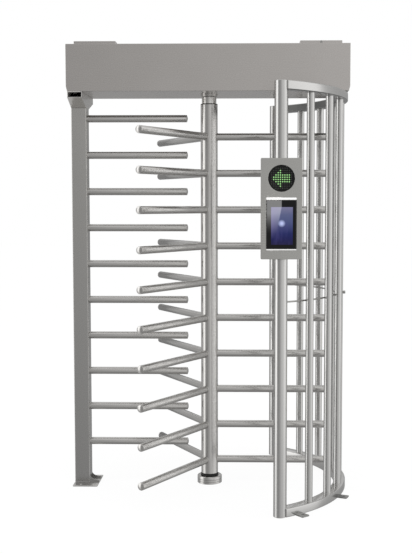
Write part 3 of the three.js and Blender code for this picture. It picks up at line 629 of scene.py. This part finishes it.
# Cage: two rings of curved box section, two posts, seven tubes and the hoop
cage = {"radius": 0.686, "postAngle": 58.4, "postRadius": 0.03175, "postRound": 0.002,
        "ringIn": 0.024, "ringOut": 0.034, "ringCorner": 0.005, "ringSteps": 96, "ringLap": 0.0155,
        "tubeRadius": 0.019, "tubeBore": 0.017, "tubeStep": 14.3, "tubeCount": 7, "bead": 0.002,
        "lugWidth": 0.047, "lugReach": 0.045, "lugPlate": 0.006, "lugHole": 0.007, "lugCorner": 0.005,
        "lugEdge": 0.001, "lugAngles": (-50.8, -21.45, 21.45, 50.8)}


def onCircle(radius, angle, height=0):
    return Vector((radius * math.cos(angle), radius * math.sin(angle), height))


# Frames round the cage, whose X points outwards and whose Y points up
def aroundCage(reach):
    frames = []
    for step in range(cage["ringSteps"] + 1):
        out = onCircle(1, 2 * reach * step / cage["ringSteps"] - reach)
        axes = Matrix((out, Vector((0, 0, 1)), out.cross(Vector((0, 0, 1))))).transposed().to_4x4()
        frames.append(Matrix.Translation(out * cage["radius"]) @ axes)
    return frames


ringEnd = math.radians(cage["postAngle"])
ringReach = ringEnd - cage["ringLap"] / cage["radius"]
ringHigh = high("floor_ring").z
beamFoot = low("beam_cover").z


def cageRing(z0, z1):
    box = (-cage["ringIn"], cage["ringOut"], z0, z1, cage["ringCorner"])
    shapes = [swept(roundedRectangle(*box), aroundCage(ringReach))]
    for way in (-1, 1):  # the weld where the ring meets each post
        path = []
        for p in roundedRectangle(*box, weld["cornerSteps"]):
            away = math.sqrt(max(cage["postRadius"] ** 2 - p.x ** 2, cage["ringLap"] ** 2))
            out = min(p.x, math.sqrt(cage["postRadius"] ** 2 - away ** 2))
            path.append(onCircle(cage["radius"] + out, way * (ringEnd - away / cage["radius"]),
                                 min(max(p.y, cage["bead"]), beamFoot - cage["bead"])))
        frames = pathFrames(path, onCircle(1, way * (ringEnd + quarterTurn)))
        shapes.append(swept(circle(cage["bead"], sides["bead"]), frames, loop=True))
    return shapes


lugOut = cage["radius"] + cage["ringOut"]
lug = cutPlate(
    roundedRectangle(lugOut - cage["lugPlate"], lugOut + cage["lugReach"], -cage["lugWidth"] / 2,
                     cage["lugWidth"] / 2, cage["lugCorner"]),
    [circle(cage["lugHole"], sides["hole"], lugOut + cage["lugReach"] / 2)], 0, cage["lugPlate"], cage["lugEdge"])
lugShapes = [turnedBy(lug, math.radians(angle)) for angle in cage["lugAngles"]]
# Painted light and shade on the rings: darker lugs and a paler top on the floor ring, a darker inside and underside on
# the head ring, darkest inside towards its rear end
ringPaintedLightAndShade = {"lug": (0.28, 0.28, 0.272, 1), "inside": (0.15, 0.15, 0.147, 1), "ends": (0.075, 0.075, 0.073, 1),
            "top": (0.66, 0.655, 0.645, 1), "endStart": 0.4, "endSoft": 0.05}


def paintedShadeOnLug(x, y, z):
    return (fromAxis(x, y) > lugOut + touch) * (z < cage["lugPlate"] + touch)


def paintedLightOnRingTop(x, y, z):
    return z > ringHigh - touch


def ringInside(x, y, z):
    return fromAxis(x, y) < cage["radius"] - cage["ringIn"] + touch


def paintedShadeUnderRing(x, y, z):
    return z < low("head_ring").z + cage["ringCorner"] / 2


def paintedShadeAtRingEnds(x, y, z):
    return ringInside(x, y, z) * y.sheet.clamped((y - ringPaintedLightAndShade["endStart"]) / ringPaintedLightAndShade["endSoft"])


# The floor ring carries painted shade on its lugs and painted light on its top face
floorRingSteel = steel("floor_ring_steel", cageLook, "roundZ", [
    (paintedShadeOnLug, ringPaintedLightAndShade["lug"]), (paintedLightOnRingTop, ringPaintedLightAndShade["top"])])
# The head ring carries painted shade on its inside and underside, darker still inside at its rear end
headRingSteel = steel("head_ring_steel", cageLook, "roundZ", [
    (ringInside, ringPaintedLightAndShade["inside"]), (paintedShadeUnderRing, ringPaintedLightAndShade["inside"]), (paintedShadeAtRingEnds, ringPaintedLightAndShade["ends"])])
makePiece("floor_hoop_box", cageRing(0, ringHigh) + lugShapes, floorRingSteel, ["floor_ring"])
makePiece("head_hoop_box", cageRing(low("head_ring").z, high("head_ring").z - touch),
          headRingSteel, ["head_ring"])

for name, node, way in (("cage_post_front", "front_post", -1), ("cage_post_rear", "rear_post", 1)):
    z1 = high(node).z
    radius, soft = cage["postRadius"], cage["postRound"]
    outline = [(0, 0), (radius - soft / 2, 0), (radius, soft / 2), *shoulder(radius, z1, soft, 4), (0, z1)]
    stand = Matrix.Translation(onCircle(cage["radius"], way * ringEnd))
    makePiece(name, [moved(turned(outline, sides["post"]), stand)], cageSteel, [node])

for number in range(1, cage["tubeCount"] + 1):
    node = f"cage_tube_{number}"
    angle = math.radians(cage["tubeStep"]) * (number - (cage["tubeCount"] + 1) / 2)
    z0, z1 = low(node).z, high(node).z
    tube = tubeRing(cage["tubeRadius"], cage["tubeBore"], z0, z1, touch, sides["tube"])
    bead = laidAlongX(weldBead(cage["tubeRadius"], cage["bead"]))
    shapes = [tube] + [moved(bead, Matrix.Translation((0, 0, z))) for z in (z0, z1)]
    stand = Matrix.Translation(onCircle(cage["radius"], angle))
    makePiece(f"cage_upright_{number}", [moved(shape, stand) for shape in shapes],
              cageSteel, [node])

hoop = {"radius": 0.004, "knobRadius": 0.008, "knobRound": 0.0016, "knobLength": 0.012}
hoopLevel = middle("cage_hoop").z
hoopCircle = cage["radius"] - cage["tubeRadius"] - hoop["radius"] - touch
hoopReach = ringEnd - cage["postRadius"] / cage["radius"]
wire = swept([Vector((p.x + hoopCircle - cage["radius"], p.y + hoopLevel))
              for p in circle(hoop["radius"], sides["wire"])], aroundCage(hoopReach))
knobEnd = high("cage_hoop").x
knobFoot, soft = knobEnd - hoop["knobLength"], hoop["knobRound"]
knob = turned([
    (0, hoopCircle), (hoop["radius"], hoopCircle), (hoop["radius"], knobFoot),
    (hoop["knobRadius"] - soft, knobFoot), (hoop["knobRadius"], knobFoot + soft),
    *smallShoulder(hoop["knobRadius"], knobEnd, soft), (0, knobEnd),
], sides["small"])
makePiece("cage_wire_hoop", [wire, laidAlongX(knob, z=hoopLevel)], hoopSteel, ["cage_hoop"])
print("cage ready")

# Head beam: folded sheet with rounded bends, the tray under it and a hatch at each end
beam = {"bend": 0.0022, "trayBend": 0.0008, "hatchBend": 0.0018, "lockRadius": 0.0075, "lockRise": 0.0012,
        "lockRound": 0.0005, "keyway": 0.0013}
makePiece("beam_casing", [softened("beam_cover", beam["bend"])], beamSteel, ["beam_cover"], flat=True)
makePiece("beam_floor", [softened("beam_tray", beam["trayBend"])], traySteel, ["beam_tray"], flat=True)
for side in ("left", "right"):
    makePiece(f"hatch_lid_{side}", [softened(f"{side}_hatch", beam["hatchBend"])],
              beamSteel, [f"{side}_hatch"], flat=True)
lock = turned([(0, -beam["lockRise"]), (beam["lockRadius"], -beam["lockRise"]),
               *bevelled(beam["lockRadius"], beam["lockRise"], beam["lockRound"]),
               (beam["keyway"], beam["lockRise"]), (beam["keyway"], 0), (0, 0)], sides["small"])
lockPlace = Matrix.Translation((middle("right_hatch").x, low("right_hatch").y, middle("right_hatch").z))
makePiece("hatch_lock", [moved(facingEntry(lock), lockPlace)], hoopSteel)
print("beam ready")

# Access panel: a folded case with a round indicator, a screen behind glass and a light bar
panel = {"corner": 0.005, "edge": 0.0012, "wall": 0.003, "recess": 0.006, "back": 0.002, "windowCorner": 0.001,
         "claspEdge": 0.0012, "dialDrop": 0.093, "dialRadius": 0.061, "lipHeight": 0.0035, "lipGap": 0.0008,
         "lipRise": 0.0024, "lipShoulder": 0.0012, "barCorner": 0.002, "barEdge": 0.0012, "stripHeight": 0.0055,
         "stripRise": 0.001, "stripCorner": 0.0012, "stripEdge": 0.0004,
         "bar": ((0.85, 0.85, 0.84, 1), (1.0, 0.995, 0.98, 1), 0.36),  # colour, glow and the glow's strength
         "strip": ((0.7, 0.7, 0.69, 1), (1.0, 0.995, 0.98, 1), 0.2)}
panelX = (low("panel_housing").x + high("panel_housing").x) / 2
faceY = low("indicator_lens").y - touch  # the sheet's own front, which the lip stands out of
glassLow, glassHigh = low("terminal_glass"), high("terminal_glass")
dialZ = high("panel_housing").z - panel["dialDrop"]


def frontOf(node, corner, grow=0, steps=5):
    return roundedRectangle(low(node).x - grow, high(node).x + grow, low(node).z - grow, high(node).z + grow,
                            corner, steps)


outerEdge = frontOf("panel_housing", panel["corner"])
innerEdge = inset(outerEdge, panel["wall"])
windows = [circle(panel["dialRadius"] + touch, sides["disc"], panelX, dialZ)]
windows += [frontOf(node, panel["windowCorner"], touch, 2) for node in ("terminal_glass", "light_bar")]
panelDepth = high("panel_housing").y - faceY
front = facingEntry(cutPlate(outerEdge, windows, -panel["recess"], 0, panel["edge"]), faceY)
behind = facingEntry(cutPlate(inset(outerEdge, touch), [], -panel["recess"] - panel["back"],
                              -panel["recess"] - touch, touch), faceY)
rim = facingEntry(cutPlate(outerEdge, [innerEdge], -panelDepth, -panel["recess"] - panel["back"], touch), faceY)
stripTop = glassLow.z - panel["lipGap"]
lipTop = stripTop - panel["stripHeight"] - touch
lipFoot = lipTop - panel["lipHeight"]
lipSection = [Vector((faceY + panel["wall"], lipFoot)), Vector((faceY + panel["wall"], lipTop)),
              Vector((faceY, lipTop)), Vector((faceY - panel["lipRise"], lipFoot + panel["lipShoulder"])),
              Vector((faceY - panel["lipRise"], lipFoot))]
across = Matrix((Vector((0, 1, 0)), Vector((0, 0, 1)), Vector((1, 0, 0)))).transposed().to_4x4()
lip = swept(lipSection, [Matrix.Translation((x, 0, 0)) @ across for x in (glassLow.x, glassHigh.x)])
makePiece("panel_case", [front, behind, rim, lip], panelSteel, ["panel_housing"], flat=True)
makePiece("panel_clasp", [softened("panel_bracket", panel["claspEdge"])], panelSteel, ["panel_bracket"], flat=True)

# The indicator: a black disc behind a round bezel, with a grid of lamps of which an arrow is lit
dial = {"plate": 0.005, "round": 0.0015, "bezel": 0.0045, "slope": 0.0015, "sunk": 0.00075, "lampPitch": 0.0102,
        "lampRadius": 0.0031, "lampRise": 0.0013, "lampSunk": 0.00065, "lampSteps": 4, "gridHalf": 5,
        "gridReach": 0.054, "arrowRows": (2, 4, 6, 8, 4, 4, 4, 4),
        "lit": ((0.10, 0.24, 0.08, 1), (0.36, 0.72, 0.27, 1), 0.7),  # colour, glow and the glow's strength
        "unlit": ((0.010, 0.013, 0.009, 1), (0, 0, 0, 1), 0.0)}
dialBack = high("indicator_lens").y
discFace = dial["plate"] - dial["sunk"]
disc = turned([(0, 0), (panel["dialRadius"], 0), *smallShoulder(panel["dialRadius"], dial["plate"], dial["round"]),
               (panel["dialRadius"] - dial["bezel"], dial["plate"]),
               (panel["dialRadius"] - dial["bezel"] - dial["slope"], discFace), (0, discFace)], sides["disc"])
stand = Matrix.Translation((panelX, 0, dialZ))
makePiece("indicator_disc", [moved(facingEntry(disc, dialBack), stand)],
          dialPlastic, ["indicator_lens"])


def lampDome():
    outline = [(0, -dial["lampSunk"]), (dial["lampRadius"], -dial["lampSunk"])]
    for step in range(dial["lampSteps"] + 1):
        angle = quarterTurn * step / dial["lampSteps"]
        outline.append((dial["lampRadius"] * math.cos(angle), dial["lampRise"] * math.sin(angle)))
    return turned(outline, sides["lamp"])


litLamps, darkLamps = [], []
for column in range(-dial["gridHalf"], dial["gridHalf"] + 1):
    for row in range(-dial["gridHalf"], dial["gridHalf"] + 1):
        x, z = (column - 0.5) * dial["lampPitch"], (row - 0.5) * dial["lampPitch"]
        if math.hypot(x, z) > dial["gridReach"]:
            continue
        place = column + len(dial["arrowRows"]) // 2 - 1
        rows = dial["arrowRows"][place] if 0 <= place < len(dial["arrowRows"]) else 0
        lamps = litLamps if abs(row - 0.5) < rows / 2 else darkLamps
        lamps.append(moved(facingEntry(lampDome(), dialBack - discFace), stand @ Matrix.Translation((x, 0, z))))


lampLook = {"facets": 900, "pale": 1.3, "roughness": 0.25, "facetGloss": 0.1, "coat": 0.3}


def lampFinish(name, colour, glow, strength):
    sheet = newFinish(name)
    facets = sheet.noise(*[axis * lampLook["facets"] for axis in sheet.axes()])
    return sheet.close({
        "Base Color": sheet.blend(facets, colour, [min(1, part * lampLook["pale"]) for part in colour[:3]] + [1]),
        "Roughness": lampLook["roughness"] + facets * lampLook["facetGloss"], "Emission Color": glow,
        "Emission Strength": strength, "Coat Weight": lampLook["coat"],
    })


makePiece("arrow_lamps_lit", litLamps, lampFinish("lamp_green", *dial["lit"]))
makePiece("arrow_lamps_unlit", darkLamps, lampFinish("lamp_unlit", *dial["unlit"]))

# The terminal: black glass over a lit picture of plain bands, clouds and one soft spot, with a painted reflection that
# pales its left side
screen = {
    "left": 0.3116, "right": 0.4125, "foot": 1.2954, "top": 1.4693, "soft": 0.0012, "glass": 0.0012,
    "corner": 0.002, "edge": 0.0008, "black": (0.003, 0.003, 0.0035, 1), "roughness": 0.05,
    "sky": [
        (0.0, (0.008, 0.006, 0.046)), (0.16, (0.007, 0.008, 0.076)), (0.3, (0.008, 0.014, 0.096)),
        (0.47, (0.040, 0.050, 0.155)), (0.6, (0.062, 0.080, 0.190)), (0.8, (0.094, 0.110, 0.222)),
        (1.0, (0.185, 0.180, 0.295)),
    ],
    "cloudAcross": 7.0, "cloudUp": 1.6, "cloudSlant": 3.0, "cloudFrom": 0.45, "cloudGain": 2.2, "cloudShare": 0.35,
    "cloud": (0.075, 0.065, 0.24, 1),
    # painted reflection: how far and how strongly a glare pales the picture's left side, and its colour
    "paintedGlareReach": 0.45, "paintedGlareGain": 2, "paintedGlareFoot": 0.15, "paintedGlareRise": 2.5, "paintedGlareShare": 0.78,
    "side": (0.156, 0.134, 0.30, 1),
    "spotX": 0.361, "spotZ": 1.394, "spotRadius": 0.018, "spotGain": 1.3, "spot": (0.5, 0.56, 0.88, 1),
}


def screenGlass():
    sheet = newFinish("terminal_screen")
    x, y, z = sheet.axes()
    inside = 1.0
    for place, edge, way in ((x, "left", 1), (x, "right", -1), (z, "foot", 1), (z, "top", -1)):
        inside = inside * sheet.clamped((place - screen[edge]) * (way / screen["soft"]))
    front = y < glassLow.y + screen["glass"]
    rise = (z - screen["foot"]) / (screen["top"] - screen["foot"])
    run = (x - screen["left"]) / (screen["right"] - screen["left"])
    picture = sheet.node("ShaderNodeValToRGB", {"stops": screen["sky"]}, {0: rise})
    clouds = sheet.noise(run * screen["cloudAcross"], rise * screen["cloudUp"], rise * screen["cloudSlant"], detail=4.0)
    haze = sheet.clamped((clouds - screen["cloudFrom"]) * screen["cloudGain"])
    picture = sheet.blend(haze * screen["cloudShare"], picture, screen["cloud"])
    # Painted reflection: a glare painted into the picture pales its left side and fades downwards
    leftward = sheet.clamped((screen["paintedGlareReach"] - run) * screen["paintedGlareGain"])
    upward = sheet.clamped((rise - screen["paintedGlareFoot"]) * screen["paintedGlareRise"])
    picture = sheet.blend(leftward * upward * screen["paintedGlareShare"], picture, screen["side"])
    fromSpot = ((x - screen["spotX"]) ** 2 + (z - screen["spotZ"]) ** 2) ** 0.5
    glow = sheet.clamped((1 - fromSpot / screen["spotRadius"]) * screen["spotGain"])
    picture = sheet.blend(glow, picture, screen["spot"])
    return sheet.close({
        "Base Color": screen["black"], "Roughness": screen["roughness"], "Emission Strength": 1.0,
        "Emission Color": sheet.blend(inside * front, (0.0, 0.0, 0.0, 1), picture),
    })


def frontPlate(node, corner, edge):
    return facingEntry(cutPlate(frontOf(node, corner), [], 0, high(node).y - low(node).y, edge), high(node).y)


makePiece("terminal_front", [frontPlate("terminal_glass", screen["corner"], screen["edge"])],
          screenGlass(), ["terminal_glass"], flat=True)
makePiece("light_strip", [frontPlate("light_bar", panel["barCorner"], panel["barEdge"])],
          lampFinish("light_bar_white", *panel["bar"]), ["light_bar"], flat=True)
strip = cutPlate(roundedRectangle(glassLow.x, glassHigh.x, stripTop - panel["stripHeight"], stripTop,
                                  panel["stripCorner"]), [], 0, panel["stripRise"], panel["stripEdge"])
makePiece("lip_strip", [facingEntry(strip, faceY - touch)], lampFinish("lip_strip_white", *panel["strip"]),
          flat=True)
print("access panel ready")

# What the casing hides: each piece has its name, its finish and how far its edges are broken
mechanism = {
    "pivot_plug": ("foot_plug", turnedSteel, 0.0008), "lock_wheel": ("notched_wheel", turnedSteel, 0.0006),
    "drive_gear": ("damper_drive_gear", turnedSteel, 0.0004), "damper_body": ("damper_can", turnedSteel, 0.0012),
    "damper_pinion": ("damper_pinion_gear", turnedSteel, 0.0004), "entry_pawl": ("pawl_entry", turnedSteel, 0.0008),
    "exit_pawl": ("pawl_exit", turnedSteel, 0.0008), "entry_solenoid": ("solenoid_entry", blackPlastic, 0.0012),
    "exit_solenoid": ("solenoid_exit", blackPlastic, 0.0012), "entry_plunger": ("plunger_entry", columnSteel, 0.0004),
    "exit_plunger": ("plunger_exit", columnSteel, 0.0004), "control_box": ("controller_box", blackPlastic, 0.002),
}
bodyOf = {node: body for body, nodes in frame["record"]["behaviour"]["bodies"].items() for node in nodes}
for node, (name, finish, edge) in mechanism.items():
    makePiece(name, [softened(node, edge)], finish, [node], bodyOf[node], flat=True)
print("mechanism ready")

# Studio: pale floor, white surround, three softboxes and a tent that gives round metal its dark lines
studio = {
    "floorHalf": 30, "floorDrop": 0.0004, "floorPale": (0.86, 0.86, 0.86, 1), "floorWhite": 0.88,
    "floorGlow": 1.05, "roomLight": 0.75, "tentRadius": 25, "tentHeight": 1.2, "tentSteps": 96, "peak": 1.9,
    "around": {  # level that reflections find near the horizon, by degrees from the camera's side to the right
        -180: 0.35, -152: 0.35, -145: 0.54, -108: 0.57, -98: 0.75, -92: 1.9, -66: 1.9, -58: 0.85, -50: 0.44,
        -36: 0.39, -15: 0.46, -6: 0.6, 6: 0.7, 18: 0.87, 50: 0.97, 58: 1.2, 90: 1.38, 99: 1.36, 106: 0.72,
        120: 0.6, 150: 0.46, 165: 0.35, 180: 0.35,
    },
    "upwards": {-90: 0.25, -62: 0.38, -44: 0.44, -20: 0.38, 8: 0.6, 40: 0.9, 60: 1.0, 75: 0.9, 90: 0.8},
    "wallShare": {-48: 0, -24: 0.5, -8: 1, 30: 1, 56: 0},  # how far the first level reaches above and below
    "backShare": {-13: 0, -4: 1, 8: 1, 15: 0},  # the same behind the object
    "behind": {-146: 1, -128: 0, 134: 0, 150: 1},
    "aimHeight": 1.1,
    "softboxes": {  # degrees to the right, height, distance, width, length, watts
        "strip_left": (-74, 1.6, 4.5, 1.1, 4.2, 27), "wide_right": (68, 1.7, 4.5, 2.6, 3.6, 34),
        "overhead": (0, 4.8, 1.0, 3.0, 2.2, 20),
    },
}


def whereSeen(sheet):
    path = {name: sheet.node("ShaderNodeLightPath", out=name)
            for name in ("Is Camera Ray", "Is Glossy Ray", "Is Transmission Ray")}
    seen = path["Is Camera Ray"] + path["Is Glossy Ray"] + path["Is Transmission Ray"]
    return sheet.clamped(seen)


def whiteGlow(sheet, strength):
    return sheet.node("ShaderNodeEmission", sockets={"Color": (1, 1, 1, 1), "Strength": strength})


def glowing(sheet, strength):
    sheet.node("ShaderNodeOutputMaterial", sockets={"Surface": whiteGlow(sheet, strength)})
    return sheet.owner


surround = NodeSheet(bpy.data.worlds.new("surround"))
scene.world = surround.owner
strength = whereSeen(surround) * (1 - studio["roomLight"]) + studio["roomLight"]
sky = surround.node("ShaderNodeBackground", sockets={"Color": (1, 1, 1, 1), "Strength": strength})
surround.node("ShaderNodeOutputWorld", sockets={"Surface": sky})

floorSheet = newFinish("studio_floor")
pale = floorSheet.node("ShaderNodeBsdfDiffuse", sockets={"Color": studio["floorPale"]})
mixed = floorSheet.node("ShaderNodeMixShader", sockets={
    0: whereSeen(floorSheet) * studio["floorWhite"], 1: pale, 2: whiteGlow(floorSheet, studio["floorGlow"])})
floorSheet.node("ShaderNodeOutputMaterial", sockets={"Surface": mixed})


def stageMesh(name, shape, material):
    prop = addObject(name, meshOf(name, *shape, material))
    return prop


corners = [(side * studio["floorHalf"], depth * studio["floorHalf"], -studio["floorDrop"])
           for side, depth in ((-1, -1), (1, -1), (1, 1), (-1, 1))]
floor = stageMesh("floor", (corners, [(0, 1, 2, 3)]), floorSheet.owner)
floor.visible_glossy = False


def onlyReflected(prop):
    prop.visible_camera = False
    prop.visible_diffuse = False
    prop.visible_shadow = False
    prop.visible_transmission = False
    prop.visible_volume_scatter = False


# A tent of white and grey cloth round the studio, which only reflections see. It also stands for the floor there
tent = newFinish("tent")
x, y, z = tent.axes()
sideways = tent.node("ShaderNodeMath", {"operation": "ARCTAN2"}, {0: x, 1: y * -1}) / fullTurn + 0.5
rise = tent.node("ShaderNodeMath", {"operation": "ARCTAN2"}, {0: z, 1: fromAxis(x, y)}) / math.pi + 0.5


def byAngle(place, table, span):
    stops = [(angle / span + 0.5, [level / studio["peak"]] * 3) for angle, level in studio[table].items()]
    return tent.node("ShaderNodeValToRGB", {"stops": stops}, {0: place}) * studio["peak"]


behind = byAngle(sideways, "behind", 360)
share = byAngle(rise, "wallShare", 180) * (1 - behind) + byAngle(rise, "backShare", 180) * behind
level = byAngle(sideways, "around", 360) * share + byAngle(rise, "upwards", 180) * (1 - share)
outline = []
for step in range(studio["tentSteps"] + 1):
    angle = math.pi * (step / studio["tentSteps"] - 0.5)
    outline.append((studio["tentRadius"] * max(math.cos(angle), 0), studio["tentRadius"] * math.sin(angle)))
cloth = stageMesh("tent", turned(outline, 2 * studio["tentSteps"]), glowing(tent, level))
cloth.location.z = studio["tentHeight"]
onlyReflected(cloth)

for name, (angle, height, distance, width, length, power) in studio["softboxes"].items():
    light = bpy.data.lights.new(name, "AREA")
    light.shape = "RECTANGLE"
    light.size, light.size_y, light.energy = width, length, power
    lamp = addObject(name, light)
    lamp.location = onCircle(distance, math.radians(angle - 90), height)
    lamp.rotation_euler = (Vector((0, 0, studio["aimHeight"])) - lamp.location).to_track_quat("-Z", "Y").to_euler()
    lamp.visible_glossy = False

# A card close before the terminal: the glass shows the card's pale corner, cut off aslant, as a grey sheen.
# The flag at the glass's left edge keeps the tent's bright side off the bevel there
sheen = {"off": 0.02, "inset": 0.003, "glow": 5.2, "dark": 0.3, "right": 0.361, "lean": 0.19, "foot": 1.34,
         "rise": 1.6, "soft": 0.003, "flag": 0.5}
card = newFinish("sheen_card")
x, y, z = card.axes()
top = glassHigh.z - sheen["inset"] / 2
slant = card.node("ShaderNodeMath", {"operation": "MAXIMUM"}, {0: (screen["top"] - z) * sheen["lean"], 1: 0})
cut = sheen["right"] - slant
pale = card.clamped((cut - x) / sheen["soft"] + 0.5)
fade = card.clamped((z - sheen["foot"]) / (top - sheen["foot"]) * sheen["rise"])
cardGlow = glowing(card, fade * fade * pale * sheen["glow"] + sheen["dark"])
foot = glassLow.z
cardY = glassLow.y - sheen["off"]
left, right = glassLow.x + sheen["inset"], glassHigh.x - sheen["inset"]
corners = [(left, cardY, foot), (left, cardY, top), (right, cardY, top), (right, cardY, foot)]
onlyReflected(stageMesh("sheen_card", (corners, [(0, 1, 2, 3)]), cardGlow))
flagX, flagY = glassLow.x + touch, glassLow.y - touch
corners = [(flagX, cardY, foot), (flagX, cardY, top), (flagX, flagY, top), (flagX, flagY, foot)]
onlyReflected(stageMesh("sheen_flag", (corners, [(0, 1, 2, 3)]), glowing(newFinish("sheen_flag"), sheen["flag"])))

# Camera
camera = {"place": (0.22453, -5.14074, 1.47418), "down": 4.038, "left": 1.2356, "lens": 63.402,
          "shift": (-0.04491, -0.00397)}
cameraData = bpy.data.cameras.new("camera")
cameraData.lens = camera["lens"]
cameraData.shift_x, cameraData.shift_y = camera["shift"]
viewer = addObject("camera", cameraData)
viewer.location = camera["place"]
viewer.rotation_euler = (math.radians(90 - camera["down"]), 0, math.radians(camera["left"]))
scene.camera = viewer
print("studio ready")
